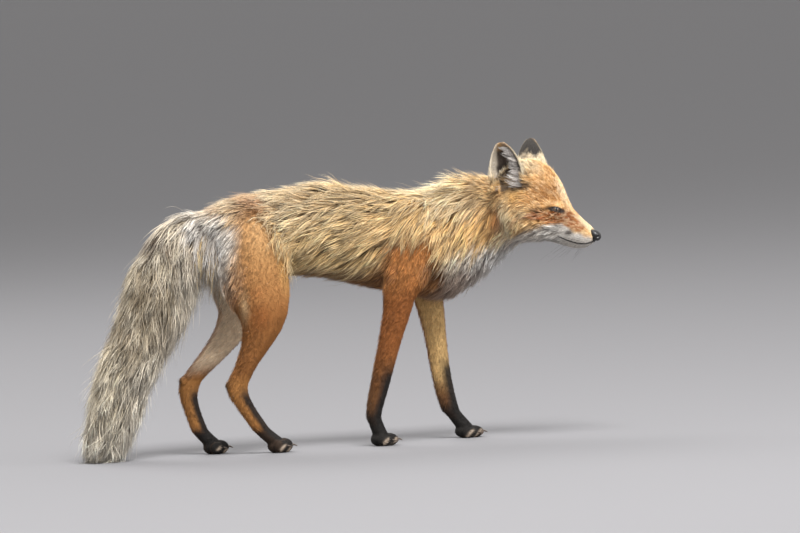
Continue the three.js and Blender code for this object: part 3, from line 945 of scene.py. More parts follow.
def earBowl():
    share = np.zeros(len(skinPoints))
    for hand in sides:
        t, across, ahead = earPlace(skinPoints, hand)
        mine = skinHead[:, 1] * sides[hand] > 0
        inRims = step(18, 14, np.abs(across)) * step(22, 16, np.abs(ahead))
        inRims = inRims * step(-0.12, 0.0, t) * step(0.55, 0.45, t)
        foot = step(-0.06, 0.03, t) * step(0.3, 0.2, t) * (ahead > -14)
        share += inRims * mine * np.maximum(skinFront, foot)
    return np.clip(share, 0, 1)


headLie = {  # ahead, out, up on the head
    "muzzle": (-1, 0.1, 0.3), "forehead": (-0.75, 0.35, 0.7), "jaw": (-1, 0.15, -0.25),
    "crown": (-1, 0.2, 0.1),
}


def lieOfCoat():
    x, y, z = skinBody.T
    along, out, up = skinHead.T
    ones = np.ones(len(x))
    none = np.zeros(len(x))
    zone = {name: skinZones[:, k:k + 1] for k, name in enumerate(zoneNames)}
    fall = 0.12 + 0.6 * step(395, 290, z) + 0.5 * step(70, 130, x) * step(400, 330, z)
    total = np.stack([-ones, none, -fall], 1) * (zone["back"] + zone["flank"] + zone["belly"])
    total += np.stack([-ones, none, -0.45 - 0.6 * step(380, 320, z)], 1) * zone["rump"]
    total += np.stack([-ones, 0.18 * np.sign(y), -0.12 - 0.95 * step(398, 345, z)], 1) * zone["neck"]
    total += np.array([-0.75, 0, -1]) * zone["chest"]
    total += alongSpine(skinPoints, "tail")[3] * zone["tail"]
    toes = step(45, 25, z)
    for k, name in enumerate(regionNames[4:], start=4):
        down = alongSpine(skinPoints, name)[3] + np.array([-0.35, 0, 0])
        total += down * (skinWeights[:, k] * (1 - toes))[:, None]
        total += np.array([1.0, 0, -0.25]) * (skinWeights[:, k] * toes)[:, None]
    for name, (ahead, aside, rise) in headLie.items():
        total += headDirection(ahead * ones, aside * ones, rise * ones) * zone[name]
    ruff = step(84, 44, along) * step(374, 350, up)
    total += headDirection(-1 + 0.5 * ruff, 0.3 * ones, -0.15 - 0.95 * ruff) * zone["cheek"]
    for hand in sides:
        mine = (skinHead[:, 1:2] * sides[hand] > 0) * (zone["earBack"] + zone["earFront"])
        ahead, aside, rise = earAxes(hand)[0]
        total += (ahead * headAhead + aside * sides[hand] * headLeft + np.array([0, 0, rise])) * mine
    flow = total
    for _ in range(3):
        flow = unit(flow - skinNormals * (flow * skinNormals).sum(1, keepdims=True))
        flow = relax(flow, skinPairs, 6, 0.5)
    return unit(flow - skinNormals * (flow * skinNormals).sum(1, keepdims=True))


skinFlow = lieOfCoat()


def lay(colours, share, hexColour):
    colours += (np.array(linear(hexColour)) - colours) * np.clip(share, 0, 1)[:, None]


# Markings in the order they are laid: whose hair, how strong, where, and the colours of hair middle, root
# and tip. A spot has a middle, radii and softness; the rest fade in from one value to another.
bodyMarks = [
    ("rear", 0.95, [("spot", (-108, 22, 398), (24, 24, 16), 0.5)], "#A05A26 #5E3417 #C47E40"),
    ("rear", 0.85, [("spot", (-134, 24, 398), (13, 30, 14), 0.5)], "#6A5E54 #332C27 #9C9084"),
    ("rear", 0.8, [("spot", (-164, 24, 384), (13, 24, 10), 0.5)], "#A0683C #5A3B24 #C08C5C"),
    ("rear", 0.7, [("x", -140, -190), ("z", 365, 390), ("lumps", 0.45, 0.75)], "#7A6A5A #4A4038 #A8967F"),
    ("trunk", 0.45, [("x", 40, -60), ("z", 330, 370)], "#D6C3A2 #5F5448 #F5EAD4"),
    ("trunkNeck", 0.3, [("x", 40, 110), ("z", 390, 350), ("z", 300, 330)], "#DDA75F #7A5530 #F4D6A0"),
    ("trunk", 0.5, [("z", 300, 280)], "#86592F #4A3522 #B08A5A"),
    ("trunk", 0.35, [("lumps", 0.55, 0.85), ("z", 300, 330)], "#B98E55 #54442F #DDBB85"),
    ("outerHind", 0.6, [("z", 320, 250)], "#B0763F #7C4E28 #C48E58"),
    ("outerHind", 0.7, [("z", 240, 195), ("z", 90, 130)], "#8A5829 #5A371A #A87442"),
    ("innerFore", 0.95, [("z", 330, 260), ("z", 60, 110)], "#DDB679 #9C7A4C #F0D4A4"),
    ("innerHind", 0.9, [("z", 330, 260), ("z", 118, 150)], "#F2D9B8 #B4A08C #FAEFDD"),
    ("outerFore", 0.6, [("z", 120, 160), ("z", 280, 220)], "#A05E2B #623A1A #BC7C46"),
    ("fore", 0.97, [("foreEdge", 138, 102), ("forward", -0.35, 0.35)], "#161210 #0A0807 #221C19"),
    ("fore", 0.9, [("z", 76, 50)], "#16120F #0A0807 #221C18"),
    ("fore", 0.5, [("forward", 0.35, -0.35), ("z", 100, 80), ("z", 44, 60)], "#704A28 #48301A #8E683E"),
    ("hind", 0.7, [("z", 130, 112), ("z", 30, 50)], "#AE783E #784E2A #CC985A"),
    ("hind", 0.97, [("hindEdge", 112, 88), ("forward", -0.15, 0.3)], "#161210 #0A0807 #221C19"),
    ("hind", 0.92, [("z", 46, 30)], "#16120F #0A0807 #221C18"),
    ("hind", 0.85, [("spot", (-181, 30, 110), (8, 20, 9), 0.5)], "#1E1612 #0E0A08 #2E241C"),
    ("hind", 0.85, [("spot", (-246, 30, 119), (8, 20, 9), 0.5)], "#1E1612 #0E0A08 #2E241C"),
    ("tail", 0.55, [("lumps", 0.5, 0.75)], "#6E6152 #3A322A #A49681"),
    ("tail", 0.5, [("lumps", 0.45, 0.2)], "#CFC4B0 #7A6E5E #F6EEDF"),
    ("dappledTail", 1, [("z", 150, 210), ("z", 340, 300)], "#8C7658 #564634 #BCA680"),
    ("tail", 0.7, [("z", 120, 30)], "#D6CEC0 #968C7E #F6F1E6"),
    ("tail", 0.65, [("z", 330, 370)], "#E4D4BA #9A8B76 #FBF0DE"),
    # the forward side of the tail is lightened: painted light on the side that lies in shade
    ("tail", 0.6, [("forward", -0.1, 0.6)], "#DDD3C2 #867B6E #FAF3E8"),
    ("tail", 0.95, [("spot", (-262, 0, 351), (22, 50, 18), 0.5)], "#4C3B2C #2A211A #806A50"),
    ("trunkHind", 0.8, [("spot", (-80, 45, 300), (15, 24, 50), 0.5)], "#D2A262 #94682F #E8C48C"),
    ("hind", 0.6, [("spot", (-118, 45, 340), (30, 24, 30), 0.6)], "#D0A470 #98703F #E4C296"),
    ("hind", 0.6, [("spot", (-128, 45, 252), (13, 20, 13), 0.6)], "#9C5524 #6A3816 #B87040"),
    ("outerHind", 0.65, [("spot", (-122, 45, 216), (16, 20, 24), 0.6)], "#94501F #623413 #AE6A36"),
    ("outerHind", 0.7, [("spot", (-146, 45, 240), (8, 20, 30), 0.6)], "#D8C096 #9A8058 #EFDDB8"),
    ("trunkHind", 0.6, [("spot", (-112, 42, 380), (30, 24, 16), 0.5)], "#B57439 #7E4E26 #CF9458"),
    ("rear", 0.95, [("spot", (-174, 34, 340), (24, 44, 34), 0.5)], "#E2DCD4 #A89F95 #FBF9F5"),
    ("rear", 0.8, [("spot", (-186, 34, 300), (22, 44, 34), 0.5)], "#CFC7BE #857C72 #F4F0EA"),
    ("tailRear", 0.8, [("spot", (-200, 0, 352), (24, 60, 20), 0.5)], "#D6CFC6 #7E756B #FAF6F0"),
    ("rear", 0.7, [("spot", (-190, 40, 290), (12, 30, 40), 0.5), ("spots", 0.5, 0.7)],
     "#D0AE74 #8A6C40 #F0D8A6"),
    # the top of the neck is pale straw, lightened here towards white, roots too: pale hair, and painted
    # light where the neck top is lit from behind
    ("neck", 0.95, [("z", 346, 374)], "#FAE6BC #C8A674 #FFF8EA"),
    ("neck", 0.4, [("lumps", 0.5, 0.8), ("z", 320, 340)], "#B4803F #6A4824 #D9A765"),
    ("neck", 0.35, [("chestLine", 322, 300), ("spots", 0.45, 0.7)], "#7C7772 #45413E #B4AFA9"),
]
headMarks = [
    ("pale", 0.95, [], "#D5D0C9 #8C857E #F1EEEA"),
    ("pale", 0.75, [("along", 128, 80), ("spots", 0.42, 0.6), ("up", 312, 302)], "#77716B #4A4540 #B5B0AA"),
    ("headNeck", 0.7, [("spot", (50, 46, 344), (30, 26, 18), 0.5)], "#ECCF9E #B08650 #FDEBC8"),
    ("headNeck", 0.9, [("spot", (36, 50, 334), (15, 26, 40), 0.4)], "#F2DCB0 #BC9462 #FFF5DC"),
    ("headNeck", 0.8, [("spot", (20, 54, 347), (12, 24, 19), 0.5)], "#A05E22 #643A14 #C98A48"),
    # a pale patch behind the ear: pale hair, lightened further as painted light in the shade under the ear
    ("headNeck", 0.8, [("spot", (14, 54, 377), (16, 24, 13), 0.5)], "#E6C48E #AC885A #F8E4BA"),
    ("rust", 1, [], "#8E4719 #54280E #AC622C"),
    ("head", 0.9, [("spot", (133, 18, 341), (17, 12, 9), 0.5)], "#74350F #421E0A #8E4A1E"),
    ("head", 0.7, [("spot", (91, 25, 381), (16, 15, 9), 0.5)], "#A26C34 #64421F #C08A52"),
    ("head", 0.7, [("spot", (99, 24, 374), (24, 20, 13), 0.5), ("spots", 0.3, 0.6)],
     "#9E6630 #5E3C1C #CC9860"),
    ("head", 0.85, [("spot", (131, 16, 315), (7, 8, 4), 0.6)], "#30231B #1A120E #5C483A"),
    ("pale", 0.4, [("spot", (146, 13, 306), (14, 9, 6), 0.35), ("whiskerRows", 0.55, 0.85)],
     "#6E655E #4A433D #A09890"),
    ("tan", 0.45, [("along", 66, 90), ("ridges", 0.5, 0.75)], "#A87440 #7A5128 #CD9C66"),
    ("tan", 0.4, [("along", 60, 80), ("ridges", 0.5, 0.25)], "#F0D5A8 #C09A68 #FBEACB"),
    ("head", 0.75, [("spot", (68, 18, 412), (22, 12, 18), 0.5)], "#E2CCA6 #A08560 #F6EAD0"),
    ("head", 0.75, [("spot", (122, 0, 386), (16, 12, 30), 0.5)], "#EBD3AE #B4946C #FBEEDA"),
    ("tan", 0.8, [("along", 132, 148), ("side", 12, 7)], "#DCCAA6 #AC9672 #F0E4C8"),
    ("head", 0.85, [("spot", (70, 38, 389), (13, 10, 6), 0.5)], "#3E2E22 #20160F #6A5240"),
    ("eyeStreak", 0.92, [("along", 74, 84), ("along", 106, 101)], "#3E2616 #20140B #5E3F26"),
]
earMarks = [
    ("back", 1, [("rise", 0.66, 0.5)], "#D6C3A2 #9C8562 #F0E4CC"),
    ("back", 0.85, [("edge", 0.9, 1.0)], "#DCCBA8 #AE9870 #F2E8D0"),
    ("front", 0.9, [("edge", 0.74, 0.88)], "#DCCBA8 #AE9870 #F2E8D0"),
    ("front", 0.9, [("height", 0.76, 0.9)], "#C49C6C #947046 #DDBC8E"),
    ("front", 0.85, [("across", 0.42, 0.62)], "#C4B7A4 #8E8272 #E2D8C8"),
    ("front", 0.55, [("across", 0.1, -0.3)], "#8F8478 #6A5F55 #BDB3A8"),
]
pawMarks = [
    ("gaps", 0.85, [("z", 15, 10), ("spots", 0.3, 0.5)], "#C2AE9A #7A6A5A #E2D6C8"),
    ("tips", 0.5, [("z", 12, 8)], "#B49A86 #6E5E50 #DACBBC"),
]
eyeMarks = [
    ("head", 0.95, [("lids", 1.7, 1.3)], "#1E1815 #120E0C #2A221D"),
    ("tear", 0.85, [], "#241B16 #150F0C #362A22"),
]
bowlMarks = [("bowl", 0.9, [], "#2A221D #181310 #4A4038")]
# lines on the head, as places along it and how far up, or how wide, they are there
paleEdge = ([-40, 29, 46, 74, 104, 123, 139, 158, 176], [292, 300, 314, 324, 329, 329, 315, 308, 303])
rustLine = ([82, 101, 118, 133, 149], [343, 342, 340, 335, 324])
rustHalf = ([76, 88, 105, 120, 135, 150, 158], [1, 6, 9, 13, 14, 8, 1])
streakLine = ([74, 87, 101], [346, 349, 354])
noiseSizes = {"lumps": 0.022, "spots": 0.008, "ridges": 0.0028, "ridgeStretch": (1.6, 0.9, 0.9)}  # metres


def layMarks(layers, marks, owners, values, local=None):
    for whose, strength, where, hexColours in marks:
        share = owners[whose] * strength
        for name, *limits in where:
            share = share * (blob(local, *limits) if name == "spot" else step(*limits, values[name]))
        for colours, hexColour in zip(layers, hexColours.split()):
            lay(colours, share, hexColour)


def bodyValues():
    x, y, z = skinBody.T
    along, out, up = skinHead.T
    lumps = noise(skinPoints, noiseSizes["lumps"], 1)
    spots = noise(skinPoints, noiseSizes["spots"], 2)
    ridges = noise(skinHead / noiseSizes["ridgeStretch"] * mm, noiseSizes["ridges"], 6)
    return {"x": x, "z": z, "along": along, "side": np.abs(out), "up": up, "forward": skinNormals[:, 0],
            "lumps": lumps, "spots": spots, "ridges": ridges, "foreEdge": z + 14 * (spots - 0.5),
            "hindEdge": z + 12 * (spots - 0.5), "chestLine": z + 0.12 * (250 - x),
            "whiskerRows": np.sin((up + 0.25 * along) * 2.1) * 0.5 + 0.5}


def bodyOwners(v):
    trunk, neck, skull, tail = skinWeights.T[:4]
    hind = skinWeights[:, [4, 6]].sum(1)
    fore = skinWeights[:, 4:].sum(1) - hind
    inner = np.zeros(len(hind))
    for k, name in enumerate(regionNames[4:], start=4):
        inner += skinWeights[:, k] * step(0.1, 0.8, -skinNormals[:, 1] * sides[name[5:]])
    rear = trunk + hind + tail
    head = skull * (1 - skinEars)
    along, up, spots = v["along"], v["up"], v["spots"]
    pale = step(4, -4, up - np.interp(along, *paleEdge) + 6 * (spots - 0.5))
    rust = step(1.4, 0.6, np.abs(up - np.interp(along, *rustLine)) / np.interp(along, *rustHalf))
    rust = rust * step(4, 12, v["side"]) * (1 - pale) * (0.78 + 0.2 * step(0.3, 0.6, spots))
    return {"trunk": trunk, "neck": neck, "tail": tail, "hind": hind, "fore": fore, "rear": rear,
            "head": head, "trunkNeck": trunk + neck, "trunkHind": trunk + hind, "tailRear": tail + rear,
            "headNeck": head + neck, "innerHind": hind * inner, "outerHind": hind * (1 - inner),
            "innerFore": fore * inner, "outerFore": fore * (1 - inner),
            "dappledTail": tail * (0.25 + 0.4 * step(0.4, 0.7, spots)),
            "pale": head * pale, "tan": head * (1 - pale), "rust": head * rust,
            "eyeStreak": head * bell(up, np.interp(along, *streakLine), 2.8)}


def markings():
    layers = [skinZones @ np.array([linear(zoneColours[name][k]) for name in zoneNames]) for k in range(3)]
    values = bodyValues()
    owners = bodyOwners(values)
    layMarks(layers, bodyMarks, owners, values, skinBody)
    for paw in paws.values():
        ahead = values["x"] - 0.9 * values["z"] - paw["heel"]
        gaps = np.clip(bell(ahead, 14, 3) + bell(ahead, 29, 2.6), 0, 1)
        legs = owners["hind"] + owners["fore"]
        found = {"gaps": legs * gaps, "tips": legs * bell(values["x"] - paw["heel"], 44, 4)}
        layMarks(layers, pawMarks, found, values)
    layMarks(layers, headMarks, owners, values, skinHead)
    for hand in sides:
        mine = skinHead[:, 1] * sides[hand] > 0
        t, across, ahead = earPlace(skinPoints, hand)
        medial = step(0.0, 0.5, -(skinNormals @ headLeft) * sides[hand])
        found = {"front": skinZones[:, zoneNames.index("earFront")] * mine,
                 "back": skinZones[:, zoneNames.index("earBack")] * mine}
        onEar = {"rise": t + 0.3 * (values["spots"] - 0.5) + 0.24 * (1 - medial), "height": t,
                 "across": across / earWidth(t), "edge": np.abs(across) / earWidth(t)}
        layMarks(layers, earMarks, found, onEar)
    layMarks(layers, bowlMarks, {"bowl": earBowl()}, {})
    for hand in sides:
        x, y, ahead = eyeLocal(skinPoints, hand)
        tear = blob(np.stack([x, y, ahead * 0], 1), (11, 2, 0), (5, 2.2, 9), mirrored=False) * (ahead > -6)
        found = {"head": owners["head"], "tear": owners["head"] * tear}
        layMarks(layers, eyeMarks, found, {"lids": apertureShare(skinPoints, hand)})
    return layers


coatMiddle, coatRoot, coatTip = markings()
report("markings are laid on")


# Grain is in millimetres. A single hair is 0.05 mm thick, too fine to show, so the grain is drawn coarser.
skinLook = {"roughness": 0.8, "ior": 1.36, "grain": 1.1111, "bump": 0.35, "depth": 0.6}
coatLook = {"roughness": 0.52, "ior": 1.55, "grain": 0.3846}
shortCoatLook = {"roughness": 0.72, "ior": 1.36, "grain": 0.3846}
grainShade = {"From Min": 0.3, "From Max": 0.7, "To Min": 0.8, "To Max": 1.2}


def paintedMaterial(name, look, attribute):
    material, tree = newMaterial(name)
    paint = addNode(tree, "ShaderNodeAttribute", {"attribute_name": attribute})
    place = addNode(tree, "ShaderNodeNewGeometry")
    grain = addNode(tree, "ShaderNodeTexNoise", values={"Scale": 1 / (look["grain"] * mm), "Detail": 2.0},
                    links={"Vector": place.outputs["Position"]})
    shade = addNode(tree, "ShaderNodeMapRange", values=grainShade, links={"Value": grain.outputs[0]})
    mixed = addNode(tree, "ShaderNodeVectorMath", {"operation": "SCALE"},
                    links={0: paint.outputs["Color"], "Scale": shade.outputs[0]})
    links = {"Base Color": mixed.outputs[0]}
    if look.get("bump"):
        values = {"Strength": look["bump"], "Distance": look["depth"] * mm}
        bump = addNode(tree, "ShaderNodeBump", values=values, links={"Height": grain.outputs[0]})
        links["Normal"] = bump.outputs[0]
    values = {"Roughness": look["roughness"], "IOR": look["ior"]}
    shader = addNode(tree, "ShaderNodeBsdfPrincipled", values=values, links=links)
    addNode(tree, "ShaderNodeOutputMaterial", links={"Surface": shader.outputs[0]})
    return material


def giveColours(thing, colours, name="coatColour"):
    layer = thing.data.color_attributes.new(name, "FLOAT_COLOR", "POINT")
    rgba = np.ones((len(colours), 4), np.float32)
    rgba[:, :3] = np.clip(colours, 0, 1)
    layer.data.foreach_set("color", rgba.ravel())


# dense underfur seen between the locks: matt, grained like felt, with no shine
skinMaterial = paintedMaterial("underfur over hide", skinLook, "coatColour")
skin = newObject("skin", skinPoints, skinTriangles, skinMaterial)
# The skin shows between the locks. Under long hair it is mostly the root colour, and under short hair it is
# the middle colour at 0.8. This is the underfur, darkened as painted shade in the gaps between locks.
underLong = {"from": 8, "over": 16, "root": 0.7, "middle": 0.22, "short": 0.8}
longHair = np.clip((fields["length"] - underLong["from"]) / underLong["over"], 0, 1)[:, None]
deepColour = coatRoot * underLong["root"] + coatMiddle * underLong["middle"]
giveColours(skin, coatMiddle * underLong["short"] * (1 - longHair) + deepColour * longHair)
giveUnwrap(skin, atlasPlaces(skinPoints[skinTriangles], skinPart[skinTriangles[:, 0]]))
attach(skin, "root")
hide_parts(*fleshNodes)
report("skin is made")


coatPlan = {"pieceLimit": 190000, "longFrom": 14.5, "steps": {"long": 4, "short": 2}, "seedSteps": 6,
            "uvPatch": 0.003}
squareMetre = 1e4  # in square centimetres, because densities are given for one of these
skinTree = KDTree(len(skinPoints))
for i, spot in enumerate(skinPoints.tolist()):
    skinTree.insert(spot, i)
skinTree.balance()


def nearestVertex(points):
    find = skinTree.find
    return np.array([find(spot)[1] for spot in points.tolist()])


def scatterRoots(perArea):
    a, b, c = (skinPoints[skinTriangles[:, k]] for k in range(3))
    area = np.linalg.norm(np.cross(b - a, c - a), axis=1) / 2
    wanted = area * squareMetre * perArea[skinTriangles].mean(1)
    run = np.cumsum(wanted)
    count = int(run[-1])
    picks = np.searchsorted(run, (np.arange(count) + dice.random(count)) * run[-1] / count)
    picks = np.clip(picks, 0, len(area) - 1)
    u = np.sqrt(dice.random(count))
    v = dice.random(count)
    mix = np.stack([1 - u, u * (1 - v), u * v], axis=1)
    corners = skinTriangles[picks]
    return (skinPoints[corners] * mix[:, :, None]).sum(1), corners[np.arange(count), mix.argmax(1)]


def between(low, high, count=None):
    return low + (high - low) * dice.random(count)


def tracePaths(spots, vertices, lengths, turn, waves, phases, steps):
    # follows the lie of the coat over the skin; gives places on the skin and the skin's facing there
    paths = np.zeros((steps + 1, len(spots), 3))
    facings = np.zeros_like(paths)
    spot = spots.copy()
    vertex = vertices.copy()
    paths[0] = spot
    facings[0] = skinNormals[vertex]
    for k in range(1, steps + 1):
        t = k / steps
        normal = skinNormals[vertex]
        heading = skinFlow[vertex]
        aside = np.cross(normal, heading)
        swing = turn + waves * np.cos(phases + lockShape["waveTurn"] * t)
        spot = spot + unit(heading + aside * swing[:, None]) * (lengths / steps * mm)[:, None]
        vertex = nearestVertex(spot)
        normal = skinNormals[vertex]
        spot = spot - normal * ((spot - skinPoints[vertex]) * normal).sum(1, keepdims=True)
        paths[k] = spot
        facings[k] = normal
    return paths, facings


lockShape = {"profile": [0.75, 1.0, 0.95, 0.62], "ridge": 0.42, "shortRidge": 0.6, "rise": 0.72,
             "underHide": 0.35, "lengths": (0.62, 1.17), "widths": (0.7, 1.3), "rises": (0.62, 1.12),
             "bends": (0.6, 1.4),
             "clumpLengths": (0.7, 1.2), "clumpLifts": (0.72, 1.22), "clumpTurn": 0.17, "lockTurn": 0.07,
             "phaseSpread": 0.5, "waveTurn": 4.5, "edgeDrop": 0.45, "edgeReach": 1.1, "spread": 0.25,
             "pullCurve": 1.25, "overrun": 1.25, "droop": 0.12, "lowest": 0.6}
# Tone of each lock is random per clump and per lock; "edge" is painted shade that darkens the locks at the
# edge of each clump.
lockTones = {"clump": 0.19, "lock": 0.24, "edge": 0.38, "shortShare": 0.55, "fullFrom": (8, 20),
             "limits": (0.45, 1.5), "rootUpTo": 0.55, "rootCurve": 1.2, "tipFrom": 0.45, "tipCurve": 1.3,
             "tipShare": 0.75}
strays = {"share": 0.07, "longerThan": 9, "raise": (0.35, 1.0), "pull": 0.3, "width": 0.5}
nearEye = {"least": 0.3, "gap": (11, 24), "bareLids": (1.3, 1.6), "bareNose": (168, 164)}
raisedTufts = [  # place on the body, reach, and how much further the tips stand out
    ((26, 0, 405), 22, 0.9), ((92, 0, 396), 16, 0.5), ((236, -8, 400), 26, 1.5), ((208, -4, 402), 22, 1.2),
    ((180, -4, 398), 18, 0.6), ((-10, -30, 395), 22, 0.4),
]
headTufts = [  # the same, placed on the head
    ((72, -16, 406), 17, 1.0), ((60, 0, 412), 16, 0.8), ((92, 0, 408), 18, 1.0), ((116, 0, 390), 16, 1.3),
    ((132, 0, 366), 12, 1.0),
]
raisedTufts += [(inBody(onHead(*spot)), reach, more) for spot, reach, more in headTufts]


def eyeGap(points):
    return np.minimum(*(np.linalg.norm(points - eyeCentres[hand], axis=1) / mm for hand in sides))


def rootDensity():
    along = skinHead[:, 0]
    lids = np.minimum(*(apertureShare(skinPoints, hand) for hand in sides))
    onNose = np.where(skinWeights[:, 2] > 0.5, along, 0)
    bare = step(*nearEye["bareLids"], lids) * step(*nearEye["bareNose"], onNose)
    sole = step(-0.35, -0.65, skinNormals[:, 2]) * step(10, 6, skinBody[:, 2])
    return fields["density"] * bare * (1 - sole) * (1 - earBowl())


def makeLocks():
    # every lock grows from its own root and leans into the nearest seed lock, so clumps form and taper
    shape = lockShape
    roots, vertices = scatterRoots(rootDensity())
    own = {name: fields[name][vertices] for name in fieldNames}
    count = len(roots)
    chosen = dice.random(count) < 1 / (own["density"] * (own["spacing"] / 10) ** 2)
    seeds = np.nonzero(chosen)[0]
    seedTree = KDTree(len(seeds))
    for i, spot in enumerate(roots[seeds].tolist()):
        seedTree.insert(spot, i)
    seedTree.balance()
    found = [seedTree.find(spot)[1:] for spot in roots.tolist()]
    clump = np.array([f[0] for f in found])
    edge = np.clip(np.array([f[1] for f in found]) / mm / own["spacing"], 0, 1.4)
    inner = np.clip(edge, 0, 1)
    shorter = nearEye["least"] + (1 - nearEye["least"]) * step(*nearEye["gap"], eyeGap(roots))
    clumpLength = between(*shape["clumpLengths"], len(seeds))
    clumpLift = between(*shape["clumpLifts"], len(seeds))
    clumpTone = dice.normal(0, 1, len(seeds))
    seedVertex = vertices[seeds]
    seedLength = fields["length"][seedVertex] * clumpLength * shorter[seeds]
    seedBend = shape["waveTurn"] * fields["wave"][seedVertex] / fields["length"][seedVertex]
    freedom = np.clip(fields["clumping"][seedVertex] * 1.4, 0, 1)
    seedTurn = dice.normal(0, 1, len(seeds)) * shape["clumpTurn"] * freedom
    seedPhase = dice.random(len(seeds)) * 2 * math.pi
    length = own["length"] * clumpLength[clump] * between(*shape["lengths"], count) * shorter
    turn = seedTurn[clump] + dice.normal(0, 1, count) * shape["lockTurn"]
    bend = seedBend[clump] * between(*shape["bends"], count)
    phase = seedPhase[clump] + dice.normal(0, shape["phaseSpread"], count)
    rise = clumpLift[clump] * between(*shape["rises"], count) * (1 - shape["edgeDrop"] * inner ** 2)
    raised = np.zeros(count)
    for spot, reach, more in raisedTufts:
        raised += more * np.exp(-(np.linalg.norm((inBody(roots) - spot) / reach, axis=1) ** 2))
    stray = (dice.random(count) < strays["share"]) & (own["length"] > strays["longerThan"])
    raised[stray] += between(*strays["raise"], stray.sum())
    seedSteps = coatPlan["seedSteps"]
    seedPaths, seedFacings = tracePaths(roots[seeds], seedVertex, seedLength, seedTurn, seedBend, seedPhase,
                                        seedSteps)
    hangingZones = [zoneNames.index(name) for name in ("chest", "belly", "neck", "tail")]
    isLong = own["length"] >= coatPlan["longFrom"]
    made = {}
    for kind, mask in (("long", isLong), ("short", ~isLong)):
        rows = np.nonzero(mask)[0]
        steps = coatPlan["steps"][kind]
        t = np.linspace(0, 1, steps + 1)[:, None]
        paths, facings = tracePaths(roots[rows], vertices[rows], length[rows], turn[rows], bend[rows],
                                    phase[rows], steps)
        c = clump[rows]
        offset = roots[rows] - roots[seeds][c]
        pull = own["clumping"][rows] * np.exp(-(edge[rows] / shape["edgeReach"]) ** 4)
        pull = pull * np.where(stray[rows], strays["pull"], 1) * t ** shape["pullCurve"]
        # each lock ends where its own length ends along its clump, so the clump tapers
        sample = np.clip(t * (length[rows] / seedLength[c]), 0, shape["overrun"]) * seedSteps
        lower = np.minimum(sample.astype(int), seedSteps - 1)
        part = (sample - lower)[:, :, None]
        goal = seedPaths[lower, c] * (1 - part) + seedPaths[lower + 1, c] * part
        goal = goal + offset[None] * shape["spread"]
        paths = paths + (goal - paths) * pull[:, :, None]
        facings = unit(facings + (seedFacings[lower, c] - facings) * pull[:, :, None])
        lift = own["depth"][rows] * rise[rows] * (1 + raised[rows]) * t ** shape["rise"]
        paths = paths + facings * (lift - shape["underHide"] * (1 - t))[:, :, None] * mm
        hang = skinZones[vertices[rows]][:, hangingZones].sum(1)
        paths[:, :, 2] -= shape["droop"] * hang * t ** 2 * length[rows] * mm
        made[kind] = {"rows": rows, "steps": steps, "paths": paths, "facings": facings}
    tones = lockTones
    tone = tones["clump"] * clumpTone[clump] + tones["lock"] * dice.normal(0, 1, count)
    full = step(*tones["fullFrom"], own["length"])
    tone = 1 + tone * (tones["shortShare"] + (1 - tones["shortShare"]) * full)
    # Locks at the edge of a clump are darkened: painted shade in the gaps between clumps.
    tone -= tones["edge"] * inner ** 2 * own["clumping"]
    width = own["width"] * between(*shape["widths"], count) * np.where(stray, strays["width"], 1)
    return made, {"vertex": vertices, "root": roots, "width": width, "tone": tone}


def lockTriangles(steps):
    return (steps - 1) * 6 + 4


